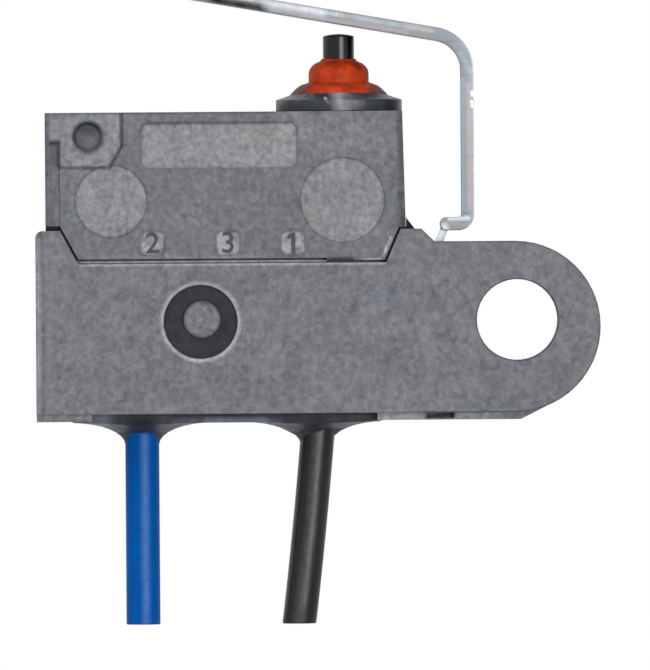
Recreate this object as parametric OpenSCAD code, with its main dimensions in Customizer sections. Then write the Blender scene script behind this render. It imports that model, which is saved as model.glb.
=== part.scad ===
// Sealed micro switch: a moulded case with a snap mechanism inside, latched into a holder with one
// mounting ear, worked by a bent steel lever over a booted plunger, with two short cut leads.
// Millimetres. The origin is the centre of the mounting hole, -Y is the front and +Z is up.

/* [Holder] */
// Diameter of the mounting hole
mount_hole_d = 2.9; // [2.4:0.1:3.6]
// Height of the ear's top edge above the hole's axis
ear_top = 2.82; // [2.75:0.01:2.95]
// Distance from the hole's axis to the ear's round end
ear_reach = 2.97; // [2.6:0.01:3.6]
// Depth of the holder's underside below the hole's axis
holder_drop = 3.29; // [3.1:0.01:3.8]
// Height of the holder's end walls above the hole's axis
shoulder_z = 3.28; // [3.12:0.01:3.4]
// Thickness of the holder's front and back walls beside the case
holder_wall = 0.65; // [0.5:0.01:1]
// Thickness of the holder's wall at the end away from the ear
holder_end_wall = 0.51; // [0.4:0.01:1]
// Radius of the holder's upper corner at that end
holder_corner_r = 0.26; // [0.1:0.01:0.4]
// Bevel along the holder's upright edges at that end
holder_bevel = 0.22; // [0.05:0.01:0.4]
// Height of the lip below the holder's underside
lip_h = 0.26; // [0.1:0.01:0.5]
// Set-back of the lip from the front and back faces
lip_setback = 0.3; // [0.1:0.01:0.6]
// Width of the wall that carries the lip round the wire chamber
lip_wall = 1.05; // [0.8:0.01:1.2]
// Length of lip left standing over the wire chamber's far end
lip_far_run = 0.75; // [0.3:0.01:1.5]
// Length of lip left standing over the wire chamber's near end
lip_near_run = 0.18; // [0.1:0.01:1]
// Horizontal run of the lip's slanted end below the ear
lip_slant_run = 1.4; // [0.8:0.01:2]
// Distance past the ear's middle where the lip's slanted end begins
lip_slant_start = 0.18; // [0.05:0.01:0.4]
// Width of the moulding notch in the lip below the ear
lip_notch_w = 1.0; // [0.5:0.01:1.5]
// Height of that notch
lip_notch_h = 0.2; // [0.08:0.01:0.25]
// Depth of that notch behind the lip's face
lip_notch_depth = 0.3; // [0.1:0.01:0.5]
// Distance of that notch from the hole's axis
lip_notch_x = 2.8; // [2:0.01:3.2]
// Set-back of the tongue along the seam from the holder's face
tongue_setback = 0.2; // [0.1:0.01:0.24]
// Height of the fine groove at the tongue's foot
tongue_groove_h = 0.03; // [0.02:0.01:0.05]
// Depth of that groove
tongue_groove_depth = 0.15; // [0.05:0.01:0.2]
// Outward run of the bump beside the lever's slot, from its top to the ear
bump_run = 0.2; // [0.05:0.01:0.25]
// Bevel on that bump's upper corner
bump_bevel = 0.28; // [0.05:0.01:0.35]
// Radius of the round latch window in the holder
window_r = 1.32; // [1.1:0.01:1.6]
// Bevel round the latch window
window_bevel = 0.13; // [0.05:0.01:0.3]

/* [Case] */
// Width of the case from end to end
case_w = 12.88; // [12.2:0.01:14]
// Distance from the hole's axis to the case's near end
case_offset = 3.97; // [3.9:0.01:4.6]
// Height of the case's top above the hole's axis
case_top = 7.5; // [7.2:0.01:8.2]
// Lean of the case's near end towards its top
case_draft = 0.1; // [0:0.01:0.2]
// Depth of the case's inside from front to back
cavity_depth = 3.5; // [3.4:0.05:4.2]
// Thickness of the case's front and back walls
case_side_wall = 0.9; // [0.7:0.01:1.3]
// Thickness of the case's end walls
case_end_wall = 0.65; // [0.55:0.01:0.8]
// Thickness of the case's roof
roof_t = 0.8; // [0.6:0.01:1]
// Thickness of the spigot's walls, inside the holder
spigot_wall = 0.45; // [0.3:0.01:0.5]
// Depth of the spigot's end below the hole's axis
spigot_drop = 1.1; // [0.9:0.01:1.3]
// Clearance between the spigot and the holder
spigot_gap = 0.05; // [0.02:0.01:0.1]
// Height of the long seam between case and holder above the hole's axis
seam_z = 2.18; // [1.9:0.01:2.4]
// Open gap along that seam
seam_gap = 0.07; // [0.03:0.01:0.12]
// Drop of the seam at its near part, and height of the holder's tongue along the rest of it
seam_step = 0.09; // [0.07:0.01:0.15]
// Distance of that drop from the case's near end
seam_step_x = 2.83; // [2.4:0.01:3.2]
// Gap under the case's far end, filled with sealant
seal_gap = 0.17; // [0.1:0.01:0.25]
// Inset of the seam's slanted end from the case's far end
seam_inset_far = 0.53; // [0.45:0.01:0.7]
// Inset of the seam's slanted end from the case's near end
seam_inset_near = 0.19; // [0.05:0.01:0.3]
// Horizontal run of the seam's slanted part at the case's far end
seam_run_far = 0.59; // [0.3:0.01:0.9]
// Horizontal run of the seam's slanted part at the case's near end
seam_run_near = 0.47; // [0.3:0.01:0.9]
// Bevel along the case's upright edges
case_bevel = 0.24; // [0.05:0.01:0.4]
// Depth of the shallow recesses in the case's faces
recess_depth = 0.06; // [0.03:0.01:0.15]
// Width of the bare recessed plate
plate_w = 5.58; // [4:0.01:6]
// Height of the bare recessed plate
plate_h = 1.61; // [1:0.01:1.8]
// Radius of that plate's corners
plate_corner_r = 0.27; // [0.1:0.01:0.4]
// Distance of that plate's middle from the case's far end
plate_x = 6.22; // [5.9:0.01:7]
// Distance of that plate's middle below the case's top
plate_down = 1.2; // [1:0.01:1.6]
// Radius of the far round pad
far_pad_r = 1.29; // [0.9:0.01:1.35]
// Distance of the far pad's centre from the case's far end
far_pad_x = 2.35; // [2:0.01:2.8]
// Radius of the near round pad
near_pad_r = 1.51; // [1:0.01:1.6]
// Distance of the near pad's centre from the case's near end
near_pad_x = 2.25; // [2:0.01:2.6]
// Height of both pads' centres above the hole's axis
pad_z = 4.33; // [4.2:0.01:4.6]
// Width of the lever seat at the case's upper far corner
seat_w = 2.69; // [2:0.01:3]
// Height of that seat
seat_h = 1.93; // [1.5:0.01:2.2]
// Width of the corner that is cut off the seat
seat_cut_w = 1.17; // [0.6:0.01:1.3]
// Height of that corner
seat_cut_h = 0.73; // [0.3:0.01:0.9]
// Distance of the seat's blind hole from the case's far end
seat_hole_x = 1.53; // [1.2:0.01:1.6]
// Distance of that hole below the case's top
seat_hole_down = 0.86; // [0.8:0.01:1]
// Radius of that hole at the face
seat_hole_r = 0.55; // [0.3:0.01:0.6]
// Radius of that hole at its floor
seat_floor_r = 0.42; // [0.2:0.01:0.5]
// Depth of that hole
seat_hole_depth = 0.35; // [0.2:0.01:0.6]
// Width of the step down the case's far edge
step_w = 0.53; // [0.3:0.01:0.7]
// Depth of that step
step_depth = 0.12; // [0.05:0.01:0.25]
// Distance of that step's top below the case's top
step_down = 1.06; // [1:0.01:1.4]
// Radius of the latch boss
boss_r = 0.66; // [0.4:0.01:0.8]
// Distance of the latch boss's window from the case's far end
boss_x = 5.53; // [5:0.01:6]
// Sideways offset of the latch boss from the middle of its window
boss_shift_x = 0.05; // [0:0.01:0.1]
// Upward offset of the latch boss from the middle of its window
boss_shift_z = 0.09; // [0:0.01:0.15]
// Set-back of the latch boss from the holder's face
boss_setback = 0.1; // [0.05:0.01:0.3]
// Set-back of the black ring round the boss from the holder's face
ring_setback = 0.26; // [0.15:0.01:0.4]

/* [Plunger and boot] */
// Diameter of the plunger
plunger_d = 1.12; // [0.9:0.01:1.2]
// Distance of the plunger's axis from the case's near end
plunger_x = 2.37; // [2.3:0.01:2.45]
// Height of the plunger's top above the case's top
plunger_rise = 2.78; // [2.6:0.01:3]
// Crown of the plunger's domed top
plunger_crown = 0.08; // [0.04:0.01:0.2]
// Radius of the plunger's flange under the roof
flange_r = 0.8; // [0.7:0.01:0.95]
// Thickness of that flange
flange_t = 0.4; // [0.3:0.01:0.5]
// Radius of the plunger's nub over the moving arm
nub_r = 0.42; // [0.3:0.01:0.45]
// Clearance round the plunger in its bore and boot
plunger_gap = 0.04; // [0.02:0.01:0.08]
// Free play between the plunger's nub and the moving arm at rest
nub_gap = 0.36; // [0.34:0.01:0.45]
// Outer diameter of the boot's retaining ring
collar_d = 4.52; // [4.3:0.01:4.6]
// Height of the retaining ring's upright side
collar_h = 0.42; // [0.36:0.01:0.6]
// Height of the retaining ring's cone
collar_cone_h = 0.15; // [0.05:0.01:0.3]
// Radius of the retaining ring's opening
collar_bore_r = 1.78; // [1.7:0.01:1.85]
// Radius of the boot's foot under the ring
boot_foot_r = 1.98; // [1.9:0.01:2.05]
// Thickness of the boot's foot
boot_foot_t = 0.2; // [0.1:0.01:0.3]
// Wall of the boot
boot_wall = 0.24; // [0.15:0.01:0.3]
// Height of the boot's neck above the case's top, where its skirt meets its bulb
boot_neck_up = 1.03; // [0.98:0.01:1.08]
// Outward bulge of the boot's sloping skirt
boot_bulge = 0.08; // [0.02:0.01:0.12]
// Height of the boot's grip on the plunger
boot_grip_h = 0.52; // [0.4:0.01:0.6]
// Thickness of the boot's lip at its top
boot_lip_t = 0.06; // [0.04:0.01:0.15]
// Height of the boot's bulb above the case's top, up to its rounding
bulb_up = 1.45; // [1.4:0.01:1.5]
// Radius of the boot's bulb at its widest
bulb_r = 1.08; // [1.02:0.01:1.15]
// Rounding of the boot's bulb
bulb_round = 0.36; // [0.3:0.01:0.38]
// Height of the boot's top above the case's top
boot_top_up = 1.87; // [1.75:0.01:2]

/* [Lever] */
// Thickness of the lever's strip
lever_t = 0.47; // [0.3:0.01:0.5]
// Width of the lever's strip
lever_w = 3.2; // [2.6:0.05:4]
// Slope of the lever's arm
lever_slope = 9.9; // [8:0.1:12]
// Gap between the lever's arm and the plunger's top, on the plunger's axis
lever_gap = 0.34; // [0.3:0.01:0.5]
// Reach of the lever's tip past the plunger's axis
lever_tip_reach = 7.6; // [5:0.05:9]
// Distance of the lever's upright leg from the hole's axis
leg_x = 1.75; // [1.6:0.01:1.9]
// Height of the lever's foot above the ear
foot_up = 0.63; // [0.5:0.01:0.75]
// Distance of the foot's round end from the hole's axis
foot_end_x = 2.52; // [2.45:0.01:2.75]
// Bend radius between leg and arm, on the strip's middle
arm_bend_r = 1.3; // [0.7:0.01:1.5]
// Bend radius between foot and leg, on the strip's middle
foot_bend_r = 0.36; // [0.3:0.01:0.5]
// Rounding of the arm's two tip corners
tip_corner_r = 0.7; // [0.2:0.05:1.2]
// Width of the tang that goes down into the holder
tang_w = 2.4; // [1.8:0.05:2.8]
// Thickness of the tang
tang_t = 0.28; // [0.2:0.01:0.32]
// Distance of the lever's pivot from the hole's axis
pivot_x = 3.04; // [2.98:0.01:3.1]
// Depth of the lever's pivot below the ear's top
pivot_down = 0.62; // [0.6:0.01:0.8]
// Radius of the pivot bead on the tang's end
bead_r = 0.3; // [0.26:0.01:0.34]
// Running clearance of the bead and tang in the holder
pivot_gap = 0.03; // [0.02:0.01:0.06]
// Angle through which the lever swings
lever_swing = 16; // [10:0.5:16]

/* [Mechanism] */
// Height of the terminal base's top above the hole's axis
base_top = 2.1; // [1.8:0.01:2.3]
// Clearance of the terminal base in the case
base_gap = 0.03; // [0.01:0.01:0.06]
// Thickness of the terminals' sheet
sheet_t = 0.3; // [0.2:0.01:0.35]
// Width of the terminals' tails
tail_w = 0.9; // [0.6:0.01:1.1]
// Length of the soldered tails below the base
tail_drop = 1.5; // [1.2:0.01:1.6]
// Length of the unused tail below the base
short_tail_drop = 0.6; // [0.3:0.01:1]
// Web of the base outside the unused tail
side_web = 0.05; // [0.03:0.01:0.1]
// Clearance round the tails in the base
tail_gap = 0.02; // [0.01:0.01:0.05]
// Width of the straps on the base
strap_w = 1.3; // [1:0.01:1.6]
// Thickness of the upright that carries the moving arm
upright_w = 0.5; // [0.4:0.01:0.6]
// Width of the post that holds the snap spring
post_w = 0.44; // [0.3:0.01:0.6]
// Distance of the snap spring's moving end from the plunger's axis
spring_end_x = 2.5; // [2:0.01:3]
// Height of the moving arm's middle above the base
arm_up = 2.1; // [1.9:0.01:2.2]
// Thickness of the moving arm
arm_t = 0.2; // [0.12:0.01:0.25]
// Width of the moving arm
arm_w = 2.0; // [1.6:0.01:2.2]
// Radius of the moving arm's pivot curl
curl_r = 0.2; // [0.15:0.01:0.25]
// Distance of the moving arm's pivot from the case's far end
arm_pivot_x = 2.0; // [1.8:0.01:2.1]
// Distance of the contacts' axis from the case's near end
contact_x = 1.33; // [1.28:0.01:1.36]
// Radius of the contacts
contact_r = 0.42; // [0.3:0.01:0.43]
// Height of the moving contact's heads
contact_h = 0.25; // [0.15:0.01:0.28]
// Gap that the moving contact crosses
contact_travel = 0.57; // [0.57:0.01:0.6]
// Width of the window in the moving arm
arm_window_w = 1.2; // [1.05:0.01:1.3]
// Mean radius of the snap spring's coil
spring_r = 0.36; // [0.34:0.01:0.4]
// Radius of the snap spring's wire
spring_wire_r = 0.08; // [0.05:0.01:0.09]
// Turns of the snap spring
spring_turns = 11; // [8:1:14]
// Rise of the snap spring's fixed end above the moving arm
spring_rise = 0.6; // [0.4:0.01:0.7]

/* [Leads and sealing] */
// Diameter of the leads' insulation
lead_d = 1.22; // [0.9:0.01:1.3]
// Diameter of the wire bundle in the leads
bundle_d = 0.74; // [0.5:0.01:0.78]
// Recess of the wire strands in the leads' cut ends
strand_recess = 0.06; // [0.05:0.01:0.2]
// Number of wire strands round the middle one
strand_count = 6; // [6:1:6]
// Length of the leads below the holder's lip
lead_length = 7.29; // [4:0.01:12]
// Distance of the blue lead from the case's far end
blue_x = 3.38; // [3:0.01:4]
// Distance of the black lead from the case's near end, where it leaves the holder
black_x = 3.17; // [2.9:0.01:3.2]
// Lean of the black lead where it leaves the holder
black_lean = 4.7; // [2:0.1:6]
// Radius of the black lead's gentle curve
black_curve_r = 185; // [100:1:300]
// Gap between a wire bundle and its terminal's tail
wire_gap = 0.04; // [0.03:0.01:0.08]
// Radius of the solder joints at their widest
solder_r = 0.67; // [0.6:0.01:0.75]
// Height of the sealing compound's crown below the holder's lip
seal_proud = 0.06; // [0.02:0.01:0.12]
// Height of the sealing compound's climb along the leads
climb_h = 0.78; // [0.4:0.01:1]
// Spread of the sealing compound's climb round the leads
climb_spread = 1.9; // [1.2:0.01:2.8]
// Shift of the climb at the black lead, to the side that the lead leans to
climb_lean = 0.16; // [0:0.01:0.2]
// Width of the sealant bead on the case's near end
bead_w = 0.32; // [0.2:0.01:0.4]
// Height of that bead
bead_h = 0.41; // [0.2:0.01:0.6]

/* [Hidden] */
$fn = 64;
// Overshoot of every cut past the surface that it opens
past = 1;
// Smallest gap between parts that are glued, plated or cast together
touch = 0.01;

// Places along X
case_near = -case_offset;
case_far = case_near - case_w;
cavity_near = case_near - case_end_wall;
cavity_far = case_far + case_end_wall;
spigot_near = cavity_near + spigot_wall;
spigot_far = cavity_far - spigot_wall;
pocket_near = spigot_near + spigot_gap;
pocket_far = spigot_far - spigot_gap;
holder_far = pocket_far - holder_end_wall;
axis_x = case_near - plunger_x;
latch_x = case_far + boss_x;
boss_at = [latch_x + boss_shift_x, boss_shift_z];
drop_x = case_near - seam_step_x;
blue_at = case_far + blue_x;
black_at = case_near - black_x;
chamber_near = cavity_near - spigot_wall / 2;
chamber_far = cavity_far + spigot_wall / 2;

// Half depths along Y
cavity_half = cavity_depth / 2;
case_half = cavity_half + case_side_wall;
spigot_half = cavity_half + spigot_wall;
pocket_half = spigot_half + spigot_gap;
holder_half = pocket_half + holder_wall;
chamber_half = holder_half - lip_wall;

// Heights along Z
roof_z = case_top - roof_t;
step_top = case_top - step_down;
lip_z = -holder_drop - lip_h;
seal_z = lip_z - seal_proud;
lead_end_z = lip_z - lead_length;
past_end_z = lead_end_z - past;
arm_z = base_top + arm_up;
plunger_top = case_top + plunger_rise;

// The ear's round end
ear_r = (ear_top + holder_drop) / 2;
ear_cz = (ear_top - holder_drop) / 2;
ear_cx = ear_reach - ear_r;

// The seam's slanted ends, moved inwards by a gap
slant_h = shoulder_z - seam_z;
function slant_shift(gap, run) = gap * norm([slant_h, run]) / slant_h;
function slant_run(z, run) = run * (shoulder_z - z) / slant_h;
function seam_far(z, gap) = case_far + seam_inset_far + slant_run(z, seam_run_far)
    + slant_shift(gap, seam_run_far);
function seam_near(z, gap) = case_near - seam_inset_near - slant_run(z, seam_run_near)
    - slant_shift(gap, seam_run_near);

// The lever's strip, and a degree to spare in its slot past the end of its swing
pivot = [-pivot_x, ear_top - pivot_down];
foot_z = ear_top + foot_up;
foot_end = [-foot_end_x, foot_z];
tang_lean = atan2(foot_end.x - pivot.x, foot_end.y - pivot.y);
arm_axis_z = plunger_top + lever_gap + lever_t / 2 / cos(lever_slope);
corner_z = arm_axis_z - tan(lever_slope) * (-leg_x - axis_x);
arm_turn = 90 - lever_slope;
arm_tangent = arm_bend_r * tan(arm_turn / 2);
leg_top = corner_z - arm_tangent;
arm_length = (lever_tip_reach - leg_x - axis_x) / cos(lever_slope) - arm_tangent;
swing_spare = 1;
swept_lean = tang_lean - lever_swing - swing_spare;
slot_half = tang_t / 2 + pivot_gap;
bump_near = pivot.x + (shoulder_z - pivot.y) * tan(swept_lean) - slot_half / cos(swept_lean) - pivot_gap;

// The snap mechanism
arm_pivot = [case_far + arm_pivot_x, arm_z];
contact_at = case_near - contact_x;
upright_far = arm_pivot.x - curl_r / 2 - upright_w;
post_x = blue_at + tail_w / 4;
spring_from = [axis_x - spring_end_x, arm_z];
spring_to = [post_x + sheet_t, arm_z + spring_rise];
window_far = post_x - sheet_t;
window_near = spring_from.x + sheet_t;
moving_top = arm_z + arm_t / 2 + contact_h;
moving_bottom = arm_z - arm_t / 2 - contact_h;
finger_z = moving_top + touch + contact_h;
shelf_z = moving_bottom - contact_travel - contact_h;
finger_far = contact_at - contact_r - touch;
finger_near = contact_at + contact_r + touch;
unused_at = latch_x + tail_w;
side_y = cavity_half - base_gap - side_web - tail_gap - sheet_t / 2;
tail_y = bundle_d / 2 + sheet_t / 2 + wire_gap;
solder_mid = -spigot_drop - tail_drop / 2;
insulation_top = -spigot_drop - tail_drop - sheet_t;
strand_top = -spigot_drop - sheet_t;

// The black lead's curve, and where it passes its terminal
arc_fn = 2048;
section_fn = 32;
black_centre = [black_at - black_curve_r * cos(black_lean), lip_z + black_curve_r * sin(black_lean)];
black_joint = black_centre.x + sqrt(pow(black_curve_r, 2) - pow(solder_mid - black_centre.y, 2));

// Extrudes a shape drawn in X and Z along Y, about the middle plane
module along_y(depth) {
    rotate([90, 0, 0])
        linear_extrude(depth, center = true)
            children();
}

// Sinks a shape drawn in X and Z into the front face
module into_front(face, depth) {
    translate([0, -face, 0])
        along_y(2 * depth)
            children();
}

// Box between two corners
module box(low, high) {
    translate(low)
        cube(high - low);
}

module rounded_rect(w, h, r) {
    square([w - 2 * r, h], center = true);
    square([w, h - 2 * r], center = true);
    for (x = [-1, 1], z = [-1, 1])
        translate([x * (w / 2 - r), z * (h / 2 - r)])
            circle(r);
}

// Quarter of a bent strip's band, above and to the right of the bend's centre
module bend_band(radius, thickness) {
    intersection() {
        difference() {
            circle(radius + thickness / 2);
            circle(radius - thickness / 2);
        }
        square(radius + thickness);
    }
}

// Square bar that bevels an upright edge at x, y
module edge_bevel(x, y, size, low, high) {
    translate([x, y, (low + high) / 2])
        rotate([0, 0, 45])
            cube([size * sqrt(2), size * sqrt(2), high - low], center = true);
}

module holder_outline() {
    square_top = shoulder_z - holder_corner_r;
    polygon([[holder_far, -holder_drop], [ear_cx, -holder_drop], [ear_cx, ear_top],
        [bump_near + bump_run, ear_top], [bump_near, shoulder_z - bump_bevel],
        [bump_near - bump_bevel, shoulder_z], [holder_far + holder_corner_r, shoulder_z],
        [holder_far, square_top]]);
    translate([holder_far + holder_corner_r, square_top])
        circle(holder_corner_r);
    translate([ear_cx, ear_cz])
        circle(ear_r);
}

// Lip round the wire chamber's mouth, with a slanted end under the ear
module lip_outline() {
    slant_start = ear_cx + lip_slant_start;
    slant_x = slant_start + lip_slant_run;
    slant_z = ear_cz - sqrt(ear_r * ear_r - pow(slant_x - ear_cx, 2));
    polygon([[holder_far + touch, 0], [holder_far + touch, lip_z],
        [slant_start, lip_z], [slant_x, slant_z], [ear_cx, 0]]);
}

module seam_opening(low) {
    top = shoulder_z + past;
    polygon([[seam_far(top, 0), top], [seam_far(low, 0), low],
        [seam_near(low, 0), low], [seam_near(top, 0), top]]);
}

// What the seam's drop takes off the holder: a ledge before the tongue, and the wall past its end
module seam_drop() {
    low = seam_z - seam_step;
    ledge = holder_half - tongue_setback;
    difference() {
        along_y(2 * (holder_half + past))
            seam_opening(low);
        box([holder_far, tongue_groove_depth - ledge, low],
            [drop_x, ledge - tongue_groove_depth, low + tongue_groove_h]);
        box([holder_far, -ledge, low + tongue_groove_h], [drop_x, ledge, shoulder_z + 2 * past]);
    }
}

// Room for the lever's tang over its whole swing
module tang_slot() {
    reach = (shoulder_z - pivot.y) / cos(tang_lean) + past;
    right = [cos(tang_lean), -sin(tang_lean)] * slot_half;
    left = [cos(swept_lean), -sin(swept_lean)] * slot_half;
    polygon([pivot + right, pivot + right + reach * [sin(tang_lean), cos(tang_lean)],
        pivot - left + reach * [sin(swept_lean), cos(swept_lean)], pivot - left]);
    translate(pivot)
        circle(bead_r + pivot_gap);
}

module holder() {
    slot_w = tang_w + 2 * pivot_gap;
    color("#78797e")
        difference() {
            union() {
                along_y(2 * holder_half)
                    holder_outline();
                along_y(2 * (holder_half - lip_setback))
                    lip_outline();
            }
            box([pocket_far, -pocket_half, -spigot_drop],
                [pocket_near, pocket_half, shoulder_z + past]);
            along_y(2 * (holder_half + past))
                seam_opening(seam_z);
            seam_drop();
            box([chamber_far, -chamber_half, lip_z - past], [chamber_near, chamber_half, 0]);
            box([chamber_far + lip_far_run, -holder_half, lip_z - past],
                [chamber_near - lip_near_run, holder_half, -holder_drop]);
            box([-lip_notch_x - lip_notch_w / 2, -holder_half, -holder_drop - lip_notch_h],
                [-lip_notch_x + lip_notch_w / 2, lip_setback + lip_notch_depth - holder_half,
                -holder_drop]);
            along_y(2 * (holder_half + past))
                circle(d = mount_hole_d);
            along_y(slot_w)
                tang_slot();
            for (side = [-1, 1]) {
                translate([latch_x, side * holder_half, 0])
                    rotate([side * 90, 0, 0])
                        latch_window();
                edge_bevel(holder_far, side * holder_half, holder_bevel,
                    -holder_drop - past, shoulder_z + past);
            }
        }
}

// Round window in a holder wall, cut from the face inwards
module latch_window() {
    translate([0, 0, -past])
        cylinder(h = holder_wall + spigot_gap + past, r = window_r);
    translate([0, 0, -past])
        cylinder(h = past + window_bevel, r1 = window_r + window_bevel + past, r2 = window_r);
}

module case_outline() {
    far_z = shoulder_z + seal_gap;
    near_z = shoulder_z + seam_gap;
    low_z = seam_z + seam_gap;
    drop_z = low_z - seam_step;
    polygon([[case_far, far_z], [seam_far(far_z, seam_gap), far_z],
        [seam_far(low_z, seam_gap), low_z], [drop_x, low_z], [drop_x, drop_z],
        [seam_near(drop_z, seam_gap), drop_z],
        [seam_near(near_z, seam_gap), near_z], [case_near, near_z],
        [case_near - case_draft, case_top], [case_far, case_top]]);
}

// Lever seat at the case's far top corner, with its lower near corner cut off
module seat_outline() {
    near = case_far + seat_w;
    low = case_top - seat_h;
    polygon([[case_far + step_w, low], [near - seat_cut_w, low],
        [near - seat_cut_w / 3, low + seat_cut_h / 3], [near, low + seat_cut_h],
        [near, case_top + past], [case_far - past, case_top + past],
        [case_far - past, step_top], [case_far + step_w, step_top]]);
}

module case_face_recesses() {
    into_front(case_half, recess_depth) {
        translate([case_far + plate_x, case_top - plate_down])
            rounded_rect(plate_w, plate_h, plate_corner_r);
        translate([case_far + far_pad_x, pad_z])
            circle(far_pad_r);
        translate([case_near - near_pad_x, pad_z])
            circle(near_pad_r);
        seat_outline();
    }
    translate([case_far + seat_hole_x, -case_half - touch, case_top - seat_hole_down])
        rotate([-90, 0, 0])
            cylinder(h = seat_hole_depth, r1 = seat_hole_r, r2 = seat_floor_r);
}

module switch_case() {
    color("#77777b")
        difference() {
            union() {
                along_y(2 * case_half)
                    case_outline();
                box([spigot_far, -spigot_half, -spigot_drop],
                    [spigot_near, spigot_half, shoulder_z + seal_gap]);
                along_y(2 * (holder_half - boss_setback))
                    translate(boss_at)
                        circle(boss_r);
            }
            box([cavity_far, -cavity_half, -spigot_drop - past],
                [cavity_near, cavity_half, roof_z]);
            translate([axis_x, 0, roof_z - past])
                cylinder(h = roof_t + 2 * past, d = plunger_d + 2 * plunger_gap);
            case_face_recesses();
            for (side = [-1, 1]) {
                edge_bevel(case_far, side * case_half, case_bevel, seam_z, case_top + past);
                edge_bevel(case_near - case_draft / 2, side * case_half, case_bevel,
                    seam_z, case_top + past);
            }
            box([case_far - past, -case_half - past, seam_z],
                [case_far + step_w, step_depth - case_half, step_top]);
        }
}

// Slot right through the base for a tail
module tail_slot(x, y) {
    box([x - tail_w / 2 - tail_gap, y - sheet_t / 2 - tail_gap, -spigot_drop - past],
        [x + tail_w / 2 + tail_gap, y + sheet_t / 2 + tail_gap, base_top + past]);
}

module terminal_base() {
    half = cavity_half - base_gap;
    color("#3a3b3f")
        difference() {
            box([cavity_far + base_gap, -half, -spigot_drop],
                [cavity_near - base_gap, half, base_top]);
            for (x = [blue_at, black_joint])
                tail_slot(x, tail_y);
            tail_slot(unused_at, side_y);
        }
}

// Flat tail at a terminal, from the base's top down
module tail(x, y, drop) {
    box([x - tail_w / 2, y - sheet_t / 2, -spigot_drop - drop],
        [x + tail_w / 2, y + sheet_t / 2, base_top + sheet_t / 2]);
}

// Upright with a half-round seat for the arm's curl, and the post that holds the snap spring
module common_terminal() {
    color("#c8a96a") {
        along_y(strap_w)
            difference() {
                translate([upright_far, base_top]) {
                    square([upright_w, arm_up + 2 * curl_r]);
                    square([post_x + sheet_t / 2 - upright_far, sheet_t]);
                }
                translate(arm_pivot)
                    circle(curl_r + pivot_gap);
            }
        along_y(post_w)
            translate([post_x - sheet_t / 2, base_top])
                square([sheet_t, arm_up + spring_rise + spring_r / 2]);
        translate([post_x, 0, spring_to.y])
            rotate([0, 90, 0])
                cylinder(h = 2 * sheet_t, r = spring_r / 2);
        tail(blue_at, tail_y, tail_drop);
    }
}

// Fixed contact carrier that stands beside the moving arm and folds over its contact
module normally_closed_terminal() {
    riser = unused_at - tail_w / 2;
    bar_h = 2 * sheet_t;
    color("#c8a96a") {
        tail(unused_at, side_y, short_tail_drop);
        translate([0, side_y, 0])
            along_y(sheet_t) {
                translate([riser, base_top])
                    square([tail_w, finger_z + sheet_t - base_top]);
                translate([riser, finger_z + sheet_t - bar_h])
                    square([finger_near - riser, bar_h]);
            }
        box([finger_far, -contact_r, finger_z], [finger_near, side_y, finger_z + sheet_t]);
    }
}

// Fixed contact carrier under the moving contact, bent up from its strap
module normally_open_terminal() {
    strap_far = black_joint - tail_w / 2;
    color("#c8a96a") {
        along_y(strap_w) {
            translate([strap_far, base_top])
                square([finger_far - strap_far, sheet_t]);
            translate([finger_far - sheet_t, base_top])
                square([sheet_t, shelf_z - base_top]);
            translate([finger_far - sheet_t, shelf_z - sheet_t])
                square([finger_near - finger_far + sheet_t, sheet_t]);
        }
        tail(black_joint, tail_y, tail_drop);
    }
}

// Stamped arm with a rolled end, a window for the spring and a tab inside the spring's end
module moving_arm() {
    color("#d0b070")
        difference() {
            union() {
                box([arm_pivot.x, -arm_w / 2, arm_z - arm_t / 2],
                    [finger_near, arm_w / 2, arm_z + arm_t / 2]);
                along_y(strap_w)
                    translate(arm_pivot)
                        circle(curl_r);
            }
            difference() {
                box([window_far, -arm_window_w / 2, arm_z - past],
                    [window_near, arm_window_w / 2, arm_z + past]);
                box([spring_from.x - sheet_t, -spring_r / 2, arm_z - past],
                    [window_near, spring_r / 2, arm_z + past]);
            }
            translate([contact_at, 0, arm_z - past])
                cylinder(h = 2 * past, r = contact_r / 2);
        }
}

// Rivet with a contact face above and below the arm
module moving_contact() {
    color("#dcdcdc")
        translate([contact_at, 0, 0]) {
            translate([0, 0, arm_z + arm_t / 2])
                cylinder(h = contact_h, r = contact_r);
            translate([0, 0, moving_bottom])
                cylinder(h = contact_h, r = contact_r);
            translate([0, 0, moving_bottom])
                cylinder(h = moving_top - moving_bottom, r = contact_r / 2 - touch);
        }
}

module normally_closed_contact() {
    color("#dcdcdc")
        translate([contact_at, 0, moving_top + touch])
            cylinder(h = contact_h, r = contact_r);
}

module normally_open_contact() {
    color("#dcdcdc")
        translate([contact_at, 0, shelf_z])
            cylinder(h = contact_h - touch, r = contact_r);
}

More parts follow.
